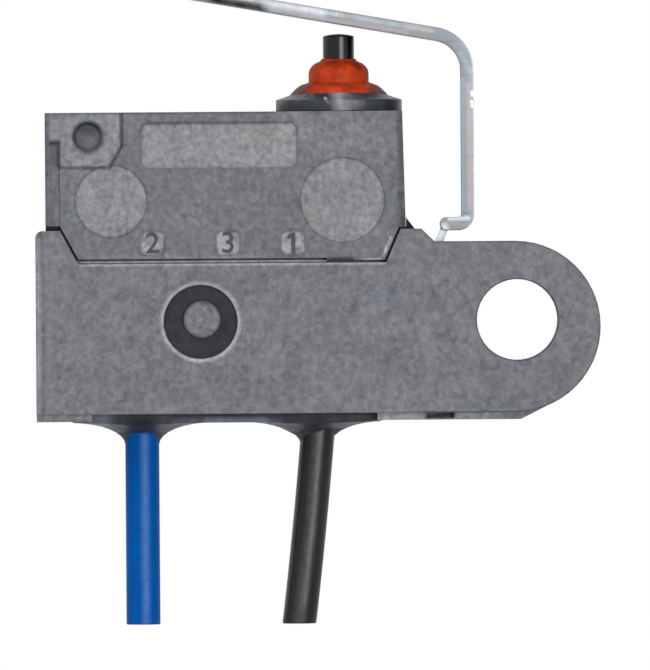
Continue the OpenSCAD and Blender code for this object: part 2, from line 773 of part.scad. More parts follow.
// Coil swept from the arm's tab to the fixed post
module snap_spring() {
    sides = 8;
    steps = 14;
    rings = spring_turns * steps;
    from = [spring_from.x, 0, spring_from.y];
    run = [spring_to.x, 0, spring_to.y] - from;
    ahead = run / norm(run);
    up = [-ahead.z, 0, ahead.x];
    pitch_lean = atan2(norm(run) / spring_turns, 360 * spring_r * PI / 180);
    function outward(a) = cos(a) * up + sin(a) * [0, 1, 0];
    function round_way(a) = -sin(a) * up + cos(a) * [0, 1, 0];
    function across(a) = cos(pitch_lean) * ahead - sin(pitch_lean) * round_way(a);
    function ring_point(i, s) = from + run * i / rings + spring_r * outward(i * 360 / steps)
        + spring_wire_r * (cos(s * 360 / sides) * outward(i * 360 / steps)
        + sin(s * 360 / sides) * across(i * 360 / steps));
    points = [for (i = [0 : rings], s = [0 : sides - 1]) ring_point(i, s)];
    skin = [for (i = [0 : rings - 1], s = [0 : sides - 1])
        [i * sides + s, (i + 1) * sides + s,
        (i + 1) * sides + (s + 1) % sides, i * sides + (s + 1) % sides]];
    near_end = [for (s = [0 : sides - 1]) s];
    far_end = [for (s = [sides - 1 : -1 : 0]) rings * sides + s];
    color("#b8b8b8")
        polyhedron(points, concat([near_end, far_end], skin), convexity = 10);
}

// Ring that clamps the boot's foot on the case
module boot_retainer() {
    color("#42464d")
        translate([axis_x, 0, case_top])
            rotate_extrude()
                polygon([[boot_foot_r + touch, 0], [collar_d / 2, 0], [collar_d / 2, collar_h],
                    [collar_bore_r, collar_h + collar_cone_h],
                    [collar_bore_r, boot_foot_t + touch], [boot_foot_r + touch, boot_foot_t + touch]]);
}

// Rubber boot: a clamped foot, a sloping skirt and a bulb that grips the plunger
module boot() {
    skirt_r = collar_bore_r - touch;
    skirt_up = collar_h + collar_cone_h;
    skirt_mid = [skirt_r + bulb_r, skirt_up + boot_neck_up] / 2 + boot_bulge * [1, 1];
    bulb_mid = bulb_r - bulb_round;
    grip_r = plunger_d / 2 + plunger_gap / 2;
    grip_up = boot_top_up - boot_grip_h;
    inside_r = bulb_r - boot_wall;
    color("#ad4022")
        translate([axis_x, 0, case_top])
            rotate_extrude()
                difference() {
                    union() {
                        square([boot_foot_r, boot_foot_t]);
                        polygon([[0, 0], [skirt_r, 0], [skirt_r, skirt_up], skirt_mid,
                            [bulb_r, boot_neck_up], [bulb_r, bulb_up], [0, bulb_up]]);
                        translate([bulb_mid, bulb_up])
                            circle(bulb_round);
                        square([bulb_mid, bulb_up + bulb_round]);
                        square([grip_r + boot_lip_t, boot_top_up]);
                    }
                    polygon([[0, -past], [skirt_r - boot_wall, -past],
                        [skirt_r - boot_wall, skirt_up - boot_wall],
                        [inside_r, boot_neck_up - boot_wall / 2],
                        [inside_r, grip_up - boot_wall / 2], [grip_r, grip_up], [0, grip_up]]);
                    square([grip_r, boot_top_up + past]);
                }
}

// Stem with a domed top, a stop flange under the roof and a nub over the moving arm
module plunger() {
    crown_r = (pow(plunger_d / 2, 2) + pow(plunger_crown, 2)) / (2 * plunger_crown);
    flange_top = roof_z - touch;
    nub_z = arm_z + arm_t / 2 + nub_gap;
    color("#454042")
        translate([axis_x, 0, 0])
            rotate_extrude() {
                intersection() {
                    translate([0, flange_top - flange_t])
                        square([plunger_d / 2, plunger_top - flange_top + flange_t]);
                    translate([0, plunger_top - crown_r])
                        circle(crown_r, $fn = 128);
                }
                translate([0, flange_top - flange_t])
                    square([flange_r, flange_t]);
                translate([0, nub_z])
                    square([nub_r, flange_top - nub_z]);
            }
}

// Bent strip: foot, leg and sloping arm, drawn in X and Z
module lever_strip() {
    translate(foot_end)
        circle(lever_t / 2);
    translate([foot_end.x, foot_z - lever_t / 2])
        square([-leg_x - foot_bend_r - foot_end.x, lever_t]);
    translate([-leg_x - foot_bend_r, foot_z + foot_bend_r])
        mirror([0, 1])
            bend_band(foot_bend_r, lever_t);
    translate([-leg_x - lever_t / 2, foot_z + foot_bend_r])
        square([lever_t, leg_top - foot_z - foot_bend_r]);
    translate([-leg_x - arm_bend_r, leg_top]) {
        intersection() {
            bend_band(arm_bend_r, lever_t);
            rotate(-lever_slope)
                square(2 * (arm_bend_r + lever_t));
        }
        rotate(-lever_slope)
            translate([-arm_length, arm_bend_r - lever_t / 2])
                square([arm_length, lever_t]);
    }
}

// Corners that are rounded off the arm's tip, along the arm
module tip_corners() {
    for (side = [-1, 1])
        translate([tip_corner_r - arm_length, side * (lever_w / 2 - tip_corner_r)])
            difference() {
                translate([-tip_corner_r - past, side > 0 ? 0 : -tip_corner_r - past])
                    square([tip_corner_r + past, tip_corner_r + past]);
                circle(tip_corner_r);
            }
}

module lever() {
    color("#babec3") {
        difference() {
            along_y(lever_w)
                lever_strip();
            translate([-leg_x - arm_bend_r, 0, leg_top])
                rotate([0, lever_slope, 0])
                    translate([0, 0, arm_bend_r])
                        linear_extrude(2 * lever_t, center = true)
                            tip_corners();
        }
        along_y(tang_w) {
            translate(pivot)
                circle(bead_r);
            translate(pivot)
                rotate(-tang_lean)
                    translate([-tang_t / 2, 0])
                        square([tang_t, norm(foot_end - pivot)]);
        }
    }
}

// Runs a cross-section along the straight blue lead, between two heights
module blue_run(low, high) {
    translate([blue_at, 0, low])
        linear_extrude(high - low)
            children();
}

// Runs a cross-section along the gently curved black lead, with its ends square to the curve
module black_run(low, high) {
    from = asin((low - black_centre.y) / black_curve_r);
    to = asin((high - black_centre.y) / black_curve_r);
    translate([black_centre.x, 0, black_centre.y])
        rotate([90, 0, 0])
            rotate([0, 0, from])
                rotate_extrude(angle = to - from, $fn = arc_fn)
                    translate([black_curve_r, 0])
                        children();
}

module lead_disc(diameter) {
    circle(d = diameter, $fn = section_fn);
}

module insulation_section() {
    difference() {
        lead_disc(lead_d);
        lead_disc(bundle_d + 2 * touch);
    }
}

module strand_section() {
    pitch = bundle_d / 3;
    lead_disc(pitch - 2 * touch);
    for (i = [0 : strand_count - 1])
        rotate(i * 360 / strand_count)
            translate([pitch, 0])
                lead_disc(pitch - 2 * touch);
}

module blue_lead_insulation() {
    color("#2762a9")
        blue_run(lead_end_z, insulation_top)
            insulation_section();
}

module blue_lead_strands() {
    color("#b87333")
        blue_run(lead_end_z + strand_recess, strand_top)
            strand_section();
}

module black_lead_insulation() {
    color("#3a3b3e")
        intersection() {
            black_run(past_end_z, insulation_top)
                insulation_section();
            box([black_at - lead_length, -lead_d, lead_end_z],
                [black_at + lead_length, lead_d, lead_d]);
        }
}

module black_lead_strands() {
    color("#b87333")
        black_run(lead_end_z + strand_recess, strand_top)
            strand_section();
}

// Spindle of solder over a tail and its wire
module solder_body(x, grow) {
    half = tail_drop / 2 - sheet_t / 2;
    translate([x, tail_y / 2, solder_mid])
        rotate_extrude()
            polygon([[0, -half - grow], [bundle_d / 2 + grow, -half - grow], [solder_r + grow, 0],
                [bundle_d / 2 + grow, half + grow], [0, half + grow]]);
}

// Space that a tail takes below the base
module tail_space(x, y, drop) {
    box([x - tail_w / 2 - touch, y - sheet_t / 2 - touch, -spigot_drop - drop - touch],
        [x + tail_w / 2 + touch, y + sheet_t / 2 + touch, 0]);
}

module blue_solder_joint() {
    color("#b9bcc0")
        difference() {
            solder_body(blue_at, 0);
            tail_space(blue_at, tail_y, tail_drop);
            blue_run(past_end_z, strand_top + touch)
                lead_disc(bundle_d + 2 * touch);
        }
}

module black_solder_joint() {
    color("#b9bcc0")
        difference() {
            solder_body(black_joint, 0);
            tail_space(black_joint, tail_y, tail_drop);
            black_run(past_end_z, strand_top + touch)
                lead_disc(bundle_d + 2 * touch);
        }
}

// Round fillet of sealing compound that climbs down along a lead
module climb(x) {
    inner = lead_d / 2;
    steps = 8;
    curve = [for (i = [0 : steps]) let (a = 90 * i / steps)
        [inner + climb_spread * (1 - sin(a)), seal_z - climb_h * (1 - cos(a))]];
    translate([x, 0, 0])
        rotate_extrude()
            polygon(concat([[0, lip_z]], [[inner + climb_spread, lip_z]], curve,
                [[0, seal_z - climb_h]]));
}

// Sealing compound cast round the joints, with a fillet along each lead
module potting() {
    side = chamber_half - touch;
    color("#2d3035")
        difference() {
            union() {
                box([chamber_far + touch, -side, seal_z], [chamber_near - touch, side, -spigot_drop]);
                intersection() {
                    for (x = [blue_at, black_at - climb_lean])
                        climb(x);
                    box([chamber_far + touch, -side, seal_z - climb_h - past],
                        [chamber_near - touch, side, 0]);
                }
            }
            for (x = [blue_at, black_joint]) {
                solder_body(x, touch);
                tail_space(x, tail_y, tail_drop);
            }
            tail_space(unused_at, side_y, short_tail_drop);
            blue_run(past_end_z, strand_top + touch)
                lead_disc(bundle_d + 2 * touch);
            black_run(past_end_z, strand_top + touch)
                lead_disc(bundle_d + 2 * touch);
            blue_run(past_end_z, insulation_top + touch)
                lead_disc(lead_d + 2 * touch);
            black_run(past_end_z, insulation_top + touch)
                lead_disc(lead_d + 2 * touch);
        }
}

// Black rings of sealing compound between the latch bosses and their windows
module latch_ring_seals() {
    color("#3a3b3e")
        for (side = [-1, 1])
            translate([latch_x, side * (spigot_half + touch), 0])
                rotate([-side * 90, 0, 0])
                    linear_extrude(holder_half - ring_setback - spigot_half - touch)
                        difference() {
                            circle(window_r - touch);
                            translate([boss_shift_x, -side * boss_shift_z])
                                circle(boss_r + touch);
                        }
}

// Sealant under the case's far and near ends, with a bead along its near end
module seam_sealant() {
    strip_near = seam_far(shoulder_z + seal_gap, seam_gap) - seam_gap;
    ledge_far = seam_near(shoulder_z + seam_gap, seam_gap) + seam_gap;
    side = case_half - step_depth - touch;
    color("#1d1e20") {
        difference() {
            box([case_far + touch, -side, shoulder_z], [strip_near, side, shoulder_z + seal_gap]);
            box([spigot_far - touch, -spigot_half - touch, 0],
                [spigot_near, spigot_half + touch, case_top]);
        }
        along_y(2 * side)
            polygon([[ledge_far, shoulder_z], [case_near + bead_w, shoulder_z],
                [case_near + touch, shoulder_z + bead_h], [case_near + touch, shoulder_z + seam_gap],
                [ledge_far, shoulder_z + seam_gap]]);
    }
}

holder();
switch_case();
terminal_base();
boot_retainer();
boot();
plunger();
lever();
common_terminal();
normally_closed_terminal();
normally_open_terminal();
moving_arm();
moving_contact();
normally_closed_contact();
normally_open_contact();
snap_spring();
potting();
latch_ring_seals();
seam_sealant();
blue_lead_insulation();
blue_lead_strands();
black_lead_insulation();
black_lead_strands();
blue_solder_joint();
black_solder_joint();
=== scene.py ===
import math
from functools import partial

import bmesh
import bpy
from mathutils import Matrix, Quaternion, Vector


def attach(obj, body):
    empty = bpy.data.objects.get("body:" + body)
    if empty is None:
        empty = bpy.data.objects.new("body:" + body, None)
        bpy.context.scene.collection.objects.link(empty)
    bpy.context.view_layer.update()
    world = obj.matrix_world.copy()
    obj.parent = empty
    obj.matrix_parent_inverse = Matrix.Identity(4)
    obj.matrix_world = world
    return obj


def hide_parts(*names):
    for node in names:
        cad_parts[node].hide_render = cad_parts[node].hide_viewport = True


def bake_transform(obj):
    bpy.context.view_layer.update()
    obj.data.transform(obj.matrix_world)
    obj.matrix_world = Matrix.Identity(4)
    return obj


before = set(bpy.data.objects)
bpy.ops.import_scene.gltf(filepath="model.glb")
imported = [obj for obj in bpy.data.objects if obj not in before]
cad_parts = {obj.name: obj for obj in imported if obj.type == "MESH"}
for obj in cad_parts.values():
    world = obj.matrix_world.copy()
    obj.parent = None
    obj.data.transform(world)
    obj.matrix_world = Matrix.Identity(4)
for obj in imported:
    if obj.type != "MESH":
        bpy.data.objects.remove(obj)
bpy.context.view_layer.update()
scene = bpy.context.scene
scene.view_settings.view_transform = "Standard"
mm = 0.001
print("frame:", len(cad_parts), "nodes loaded")


# camera, in millimetres and degrees
shot = {"aim": (-6.88, -2.9, -0.5), "distance": 800.0, "azimuth": 0.25, "elevation": 0.15, "roll": 0.4,
    "frameHeight": 23.93, "sensor": 36, "nearest": 10.0}


def placeCamera():
    turned, tilt = math.radians(shot["azimuth"]), math.radians(shot["elevation"])
    back = Vector((math.sin(turned) * math.cos(tilt), -math.cos(turned) * math.cos(tilt), math.sin(tilt)))
    data = bpy.data.cameras.new("photoCamera")
    data.sensor_width = shot["sensor"]
    data.lens = data.sensor_width * shot["distance"] / shot["frameHeight"]
    data.clip_start = shot["nearest"] * mm
    camera = bpy.data.objects.new("photoCamera", data)
    camera.location = (Vector(shot["aim"]) + back * shot["distance"]) * mm
    turn = (-back).to_track_quat("-Z", "Y") @ Quaternion((0, 0, 1), math.radians(-shot["roll"]))
    camera.rotation_mode = "QUATERNION"
    camera.rotation_quaternion = turn
    scene.collection.objects.link(camera)
    scene.camera = camera


placeCamera()
print("camera placed")


# node helpers
def put(tree, socket, value):
    if isinstance(value, bpy.types.NodeSocket):
        tree.links.new(value, socket)
    else:
        socket.default_value = value


def mathNode(tree, operation, *values, clamp=False):
    node = tree.nodes.new("ShaderNodeMath")
    node.operation = operation
    node.use_clamp = clamp
    for socket, value in zip(node.inputs, values):
        put(tree, socket, value)
    return node.outputs[0]


def mixColour(tree, blend, factor, first, second):
    node = tree.nodes.new("ShaderNodeMix")
    node.data_type = "RGBA"
    node.blend_type = blend
    put(tree, node.inputs[0], factor)
    put(tree, node.inputs[6], first)
    put(tree, node.inputs[7], second)
    return node.outputs[2]


def noiseNode(tree, vector, scale, detail=2.0, stretch=(1, 1, 1), swirl=0.0):
    if stretch != (1, 1, 1):
        mapping = tree.nodes.new("ShaderNodeMapping")
        mapping.inputs["Scale"].default_value = stretch
        tree.links.new(vector, mapping.inputs["Vector"])
        vector = mapping.outputs["Vector"]
    node = tree.nodes.new("ShaderNodeTexNoise")
    put(tree, node.inputs["Vector"], vector)
    put(tree, node.inputs["Scale"], scale)
    put(tree, node.inputs["Detail"], detail)
    put(tree, node.inputs["Distortion"], swirl)
    return node.outputs[0]


def spreadNoise(tree, vector, values, clamp=True):
    # noise with its contrast changed
    noise = noiseNode(tree, vector, values["scale"], values["detail"], values.get("stretch", (1, 1, 1)))
    return mathNode(tree, "MULTIPLY_ADD", noise, values["gain"], values["base"], clamp=clamp)


def splitVector(tree, vector):
    split = tree.nodes.new("ShaderNodeSeparateXYZ")
    put(tree, split.inputs[0], vector)
    return split.outputs


def linear(red, green, blue):
    # a colour as it is read off a picture, 0 to 255, made linear
    values = [c / 255 for c in (red, green, blue)]
    return tuple(c / 12.92 if c < 0.04045 else ((c + 0.055) / 1.055) ** 2.4 for c in values) + (1.0,)


def newGroup(name, inputs, outputs):
    group = bpy.data.node_groups.new(name, "ShaderNodeTree")
    for label, kind, value in inputs:
        socket = group.interface.new_socket(label, in_out="INPUT", socket_type="NodeSocket" + kind)
        if value is not None:
            socket.default_value = value
    for label, kind in outputs:
        group.interface.new_socket(label, in_out="OUTPUT", socket_type="NodeSocket" + kind)
    return group, group.nodes.new("NodeGroupInput").outputs, group.nodes.new("NodeGroupOutput").inputs


def useGroup(tree, group, **values):
    node = tree.nodes.new("ShaderNodeGroup")
    node.node_tree = group
    for label, value in values.items():
        put(tree, node.inputs[label], value)
    return node.outputs


# grain of a moulded surface: a shade to multiply the colour by, and a height for the bump
grainMix = {"fine": {"detail": 3.0, "swirl": 0.5, "weight": 0.8},
    "coarse": {"size": 0.45, "detail": 2.0, "stretch": (1.2, 1, 0.8), "swirl": 1.6, "weight": 0.45},
    "blotch": {"scale": 0.8, "detail": 3.0, "weight": 0.35},
    "tint": {"scale": 0.6, "detail": 1.0, "cool": (0.955, 0.995, 1.04, 1), "warm": (1.045, 1.0, 0.975, 1)}}


def makeGrainGroup():
    parts = grainMix
    group, given, out = newGroup("mouldGrain", [("Vector", "Vector", None), ("Contrast", "Float", 1.0),
        ("Fine", "Float", 6.0)], [("Shade", "Color"), ("Height", "Float")])
    calc = partial(mathNode, group)
    vector = given["Vector"]
    fine = noiseNode(group, vector, given["Fine"], parts["fine"]["detail"], swirl=parts["fine"]["swirl"])
    size = calc("MULTIPLY", given["Fine"], parts["coarse"]["size"])
    coarse = noiseNode(group, vector, size, parts["coarse"]["detail"], parts["coarse"]["stretch"],
        parts["coarse"]["swirl"])
    blotch = noiseNode(group, vector, parts["blotch"]["scale"], parts["blotch"]["detail"])
    total = 0.0
    for value, part in ((fine, "fine"), (coarse, "coarse"), (blotch, "blotch")):
        total = calc("MULTIPLY_ADD", calc("SUBTRACT", value, 0.5), parts[part]["weight"], total)
    shade = calc("MULTIPLY_ADD", total, given["Contrast"], 1.0)
    tint = mixColour(group, "MIX", noiseNode(group, vector, parts["tint"]["scale"], parts["tint"]["detail"]),
        parts["tint"]["cool"], parts["tint"]["warm"])
    put(group, out["Shade"], mixColour(group, "MULTIPLY", 1.0, tint, shade))
    put(group, out["Height"], fine)
    return group


# how far back a painted stroke or patch may lie, as y in millimetres, and a cut that takes nothing away
depths = {"front": -2.45, "hollow": -2.2}
noCut = {"CutX": 50.0, "CutZ": -50.0}
patchSoft = 0.05


# a patch on the front face: a rounded box that may lose a corner, with a line along its edge
def makePatchGroup():
    names = ("CentreX", "CentreZ", "HalfWide", "HalfHigh", "Corner", "Soft", "LineWide", "LineTop",
        "CutX", "CutZ")
    group, given, out = newGroup("facePatch", [("Vector", "Vector", None)] + [(n, "Float", 0.0) for n in names]
        + [("CutTurn", "Float", -0.9)], [("Fill", "Float"), ("Line", "Float")])
    calc = partial(mathNode, group)
    x, y, z = splitVector(group, given["Vector"])
    sides = []
    for value, centre, half in ((x, "CentreX", "HalfWide"), (z, "CentreZ", "HalfHigh")):
        away = calc("ABSOLUTE", calc("SUBTRACT", value, given[centre]))
        sides.append(calc("ADD", calc("SUBTRACT", away, given[half]), given["Corner"]))
    outer = [calc("MAXIMUM", s, 0.0) for s in sides]
    length = calc("SQRT", calc("ADD", calc("MULTIPLY", outer[0], outer[0]), calc("MULTIPLY", outer[1], outer[1])))
    inner = calc("MINIMUM", calc("MAXIMUM", sides[0], sides[1]), 0.0)
    edge = calc("SUBTRACT", calc("ADD", length, inner), given["Corner"])
    cut = calc("ADD", calc("MULTIPLY", calc("SUBTRACT", x, given["CutX"]), calc("COSINE", given["CutTurn"])),
        calc("MULTIPLY", calc("SUBTRACT", z, given["CutZ"]), calc("SINE", given["CutTurn"])))
    edge = calc("MAXIMUM", edge, cut)
    front = calc("LESS_THAN", y, depths["hollow"])
    fill = calc("SUBTRACT", 0.5, calc("DIVIDE", edge, given["Soft"]), clamp=True)
    line = calc("SUBTRACT", 1.0, calc("DIVIDE", calc("ABSOLUTE", edge), given["LineWide"]), clamp=True)
    above = calc("SUBTRACT", z, given["CentreZ"])
    height = calc("DIVIDE", above, given["HalfHigh"], clamp=True)
    least = calc("SUBTRACT", 1.0, given["LineTop"])
    keep = calc("MULTIPLY_ADD", given["LineTop"], height, least, clamp=True)
    put(group, out["Fill"], calc("MULTIPLY", fill, front))
    put(group, out["Line"], calc("MULTIPLY", calc("MULTIPLY", line, keep), front))
    return group


# a stroke between two points of the front face, solid or broken up
patchiness = {"scale": 3.5, "detail": 2.0, "gain": 6.0, "base": -2.6}


def makeStrokeGroup():
    names = ("FromX", "FromZ", "ToX", "ToZ", "Wide", "Broken")
    group, given, out = newGroup("faceStroke", [("Vector", "Vector", None)] + [(n, "Float", 0.0) for n in names]
        + [("Front", "Float", 0.0)], [("Mask", "Float")])
    calc = partial(mathNode, group)
    x, y, z = splitVector(group, given["Vector"])
    runX = calc("SUBTRACT", given["ToX"], given["FromX"])
    runZ = calc("SUBTRACT", given["ToZ"], given["FromZ"])
    offX = calc("SUBTRACT", x, given["FromX"])
    offZ = calc("SUBTRACT", z, given["FromZ"])
    dot = calc("ADD", calc("MULTIPLY", offX, runX), calc("MULTIPLY", offZ, runZ))
    size = calc("ADD", calc("MULTIPLY", runX, runX), calc("MULTIPLY", runZ, runZ))
    share = calc("DIVIDE", dot, size, clamp=True)
    gapX = calc("SUBTRACT", offX, calc("MULTIPLY", share, runX))
    gapZ = calc("SUBTRACT", offZ, calc("MULTIPLY", share, runZ))
    away = calc("SQRT", calc("ADD", calc("MULTIPLY", gapX, gapX), calc("MULTIPLY", gapZ, gapZ)))
    mask = calc("SUBTRACT", 1.0, calc("DIVIDE", away, given["Wide"]), clamp=True)
    patchy = spreadNoise(group, given["Vector"], patchiness)
    least = calc("SUBTRACT", 1.0, given["Broken"])
    kept = calc("MULTIPLY_ADD", given["Broken"], patchy, least, clamp=True)
    front = calc("LESS_THAN", y, given["Front"])
    put(group, out["Mask"], calc("MULTIPLY", calc("MULTIPLY", mask, kept), front))
    return group


mouldGrain = makeGrainGroup()
facePatch = makePatchGroup()
faceStroke = makeStrokeGroup()


def newMaterial(name):
    # a material with its place in millimetres ready to use
    material = bpy.data.materials.new(name)
    material.use_nodes = True
    tree = material.node_tree
    place = tree.nodes.new("ShaderNodeTexCoord")
    scaled = tree.nodes.new("ShaderNodeVectorMath")
    scaled.operation = "SCALE"
    scaled.inputs["Scale"].default_value = 1 / mm
    tree.links.new(place.outputs["Object"], scaled.inputs[0])
    return material, tree, tree.nodes["Principled BSDF"], scaled.outputs[0]


def addBump(tree, shader, height, strength, distance):
    bump = tree.nodes.new("ShaderNodeBump")
    bump.inputs["Strength"].default_value = strength
    bump.inputs["Distance"].default_value = distance * mm
    tree.links.new(height, bump.inputs["Height"])
    tree.links.new(bump.outputs["Normal"], shader.inputs["Normal"])


def setShader(shader, **values):
    for label, value in values.items():
        shader.inputs[label.replace("_", " ")].default_value = value


def dress(tree, shader, colour, grain, values):
    # colour broken up by the grain, with the same grain as bump
    put(tree, shader.inputs["Base Color"], mixColour(tree, "MULTIPLY", 1.0, colour, grain["Shade"]))
    setShader(shader, Roughness=values["rough"], Specular_IOR_Level=values["specular"])
    addBump(tree, shader, grain["Height"], values["bump"], values["depth"])


def grainOf(tree, place, values):
    return useGroup(tree, mouldGrain, Vector=place, Contrast=values["contrast"], Fine=values["fine"])


def paintStrokes(tree, place, colour, strokes, tones, front):
    # each stroke: tone, strength, from x and z, to x and z, width, how broken it is
    for tone, strength, fromX, fromZ, toX, toZ, wide, broken in strokes:
        mask = useGroup(tree, faceStroke, Vector=place, FromX=fromX, FromZ=fromZ, ToX=toX, ToZ=toZ, Wide=wide,
            Broken=broken, Front=front)["Mask"]
        colour = mixColour(tree, "MIX", mathNode(tree, "MULTIPLY", mask, strength), colour, linear(*tones[tone]))
    return colour


# moulded greys: the case carries pads, a bare plate, a seat with a blind hole and three tags on its front
greys = {"case": (119, 119, 123), "holder": (121, 122, 126), "pad": (143, 143, 146), "plate": (147, 148, 150),
    "seat": (143, 142, 145), "notch": (102, 102, 108), "dimple": (112, 112, 115), "tag": (176, 176, 178),
    "line": (58, 59, 64), "glint": (210, 211, 213), "lit": (172, 174, 177), "pale": (150, 154, 158),
    "shade": (88, 90, 95), "cool": (98, 108, 122), "rosy": (128, 116, 126), "mossy": (110, 124, 116),
    "shadowDark": (34, 35, 40), "rim": (186, 188, 191), "boss": (124, 125, 128)}
# the dark line round each pad, the plate, the seat, the seat's hole and the boss is painted shade at the edges of
# these recesses, and the darker fill of the hole and of the notch is painted shade inside them
casePatches = [
    {"fill": "pad", "CentreX": -14.5, "CentreZ": 4.33, "HalfWide": 1.29, "HalfHigh": 1.29, "Corner": 1.29,
        "LineWide": 0.07, "lineStrength": 0.35},
    {"fill": "pad", "CentreX": -6.22, "CentreZ": 4.33, "HalfWide": 1.51, "HalfHigh": 1.51, "Corner": 1.51,
        "LineWide": 0.07, "lineStrength": 0.3},
    {"fill": "plate", "CentreX": -10.63, "CentreZ": 6.3, "HalfWide": 2.79, "HalfHigh": 0.805, "Corner": 0.27,
        "LineWide": 0.11, "lineStrength": 0.55, "LineTop": 0.75},
    {"fill": "seat", "CentreX": -15.465, "CentreZ": 6.84, "HalfWide": 1.375, "HalfHigh": 1.31, "Corner": 0.02,
        "LineWide": 0.1, "lineStrength": 0.85, "CutX": -14.28, "CutZ": 5.97, "CutTurn": -0.52},
    {"fill": "dimple", "CentreX": -15.3, "CentreZ": 6.61, "HalfWide": 0.52, "HalfHigh": 0.52, "Corner": 0.52,
        "LineWide": 0.15, "lineStrength": 1.0, "LineTop": 0.25},
    {"fill": "boss", "CentreX": -11.27, "CentreZ": 0.09, "HalfWide": 0.66, "HalfHigh": 0.66, "Corner": 0.66,
        "LineWide": 0.13, "lineStrength": 0.75},
    {"fill": "notch", "CentreX": -16.62, "CentreZ": 5.93, "HalfWide": 0.29, "HalfHigh": 0.5, "Corner": 0.02,
        "LineWide": 0.01, "lineStrength": 0.0}]
tagPlaces = ((-13.02, 2.8), (-10.32, 2.8), (-8.0, 2.8))
tagShape = {"HalfWide": 0.43, "HalfHigh": 0.43, "Corner": 0.24, "Soft": 0.12, "LineWide": 0.1}
tagLook = {"scale": 2.8, "detail": 2.0, "gain": 3.0, "base": -0.75, "lineStrength": 0.5}
# painted shade and light on the case: the darkest strokes at the notch and the seam and the line strokes at the
# seat's right edge are painted shade, shade strokes are painted shade near its left and right edges, glint strokes
# are painted highlights on its lower right edge, and pale strokes are painted light at its top right and along its
# lower edge
caseStrokes = [
    ("line", 0.6, -16.85, 7.48, -8.6, 7.48, 0.09, 0.15),
    ("shadowDark", 0.95, -16.66, 6.44, -16.36, 6.44, 0.15, 0.0),
    ("shadowDark", 0.9, -16.36, 6.44, -16.36, 5.6, 0.13, 0.1),
    ("line", 0.7, -14.1, 7.45, -14.1, 6.3, 0.08, 0.0),
    ("line", 0.6, -14.1, 6.3, -14.45, 5.75, 0.08, 0.0),
    ("cool", 0.8, -16.78, 7.35, -16.75, 3.5, 0.16, 0.0),
    ("cool", 0.6, -16.6, 7.4, -14.9, 7.42, 0.2, 0.4),
    ("rosy", 0.6, -16.47, 5.4, -16.46, 3.5, 0.2, 0.2),
    ("rosy", 0.5, -16.2, 6.9, -16.1, 5.9, 0.3, 0.5),
    ("mossy", 0.6, -16.22, 5.4, -16.1, 3.6, 0.18, 0.2),
    ("shade", 0.75, -16.64, 5.5, -16.62, 3.5, 0.05, 0.2),
    ("pale", 0.45, -8.0, 7.0, -5.0, 6.6, 0.9, 0.7),
    ("pale", 0.5, -15.6, 2.3, -9.0, 2.3, 0.16, 0.6),
    ("shade", 0.8, -4.12, 7.4, -4.03, 3.4, 0.2, 0.0),
    ("glint", 0.9, -4.5, 2.95, -4.78, 2.33, 0.09, 0.6),
    ("glint", 0.7, -4.85, 2.22, -5.5, 2.2, 0.05, 0.6),
    ("shadowDark", 0.95, -6.7, 2.21, -5.9, 2.2, 0.13, 0.0),
    ("rosy", 0.5, -4.76, 7.1, -4.74, 4.6, 0.15, 0.3),
    ("mossy", 0.45, -4.5, 7.1, -4.48, 4.2, 0.16, 0.3)]
caseHollows = [("shadowDark", 0.6, -15.52, 6.9, -15.12, 6.9, 0.3, 0.0)]  # shade at the top of the seat's hole
# painted light and shade on the holder: pale and lit strokes are painted highlights on its left edge, on its top
# edges along the seam and on the lip, and the shade stroke is painted shade on the ear
holderStrokes = [
    ("line", 0.3, -16.92, 2.9, -16.92, -3.2, 0.06, 0.3),
    ("pale", 0.9, -17.12, 2.9, -17.12, -3.2, 0.16, 0.0),
    ("pale", 0.5, -17.0, -3.4, -14.6, -3.4, 0.2, 0.2),
    ("lit", 0.9, -5.0, -3.47, -3.5, -3.47, 0.22, 0.2),
    ("pale", 1.0, -2.1, -3.42, -0.7, -3.42, 0.26, 0.1),
    ("shade", 0.3, -0.8, -2.4, 1.4, -2.1, 1.0, 0.4),
    ("rosy", 0.4, 1.9, 1.6, 2.2, -1.0, 0.9, 0.4),
    ("lit", 0.9, -15.55, 2.05, -4.7, 2.05, 0.08, 0.15),
    ("lit", 0.8, -15.55, 2.17, -6.9, 2.17, 0.06, 0.15),
    ("lit", 0.6, -15.75, 2.42, -16.3, 3.3, 0.07, 0.4)]
# the dark stroke in the lip's notch is painted shade
holderHollows = [("shadowDark", 1.0, -3.2, -3.43, -2.32, -3.36, 0.13, 0.0)]  # dark notch in the lip
earRimShade = {"tone": (64, 72, 84), "strength": 0.6, "front": -2.75, "fromX": -4.4, "fade": 1.5, "gain": 25.0}
# the line round the latch window, in the rim tone, is a painted highlight on the window's rim
windowRim = {"CentreX": -11.32, "CentreZ": 0.0, "HalfWide": 1.385, "HalfHigh": 1.385, "Corner": 1.385,
    "LineWide": 0.11}
caseFinish = {"contrast": 1.5, "fine": 4.6, "rough": 0.62, "specular": 0.25, "bump": 0.25, "depth": 0.02}
holderFinish = {**caseFinish, "contrast": 1.45}
streaks = {"scale": 3.2, "detail": 3.0, "stretch": (2.2, 1, 0.45), "gain": 0.5, "base": 0.75, "blend": 0.7}


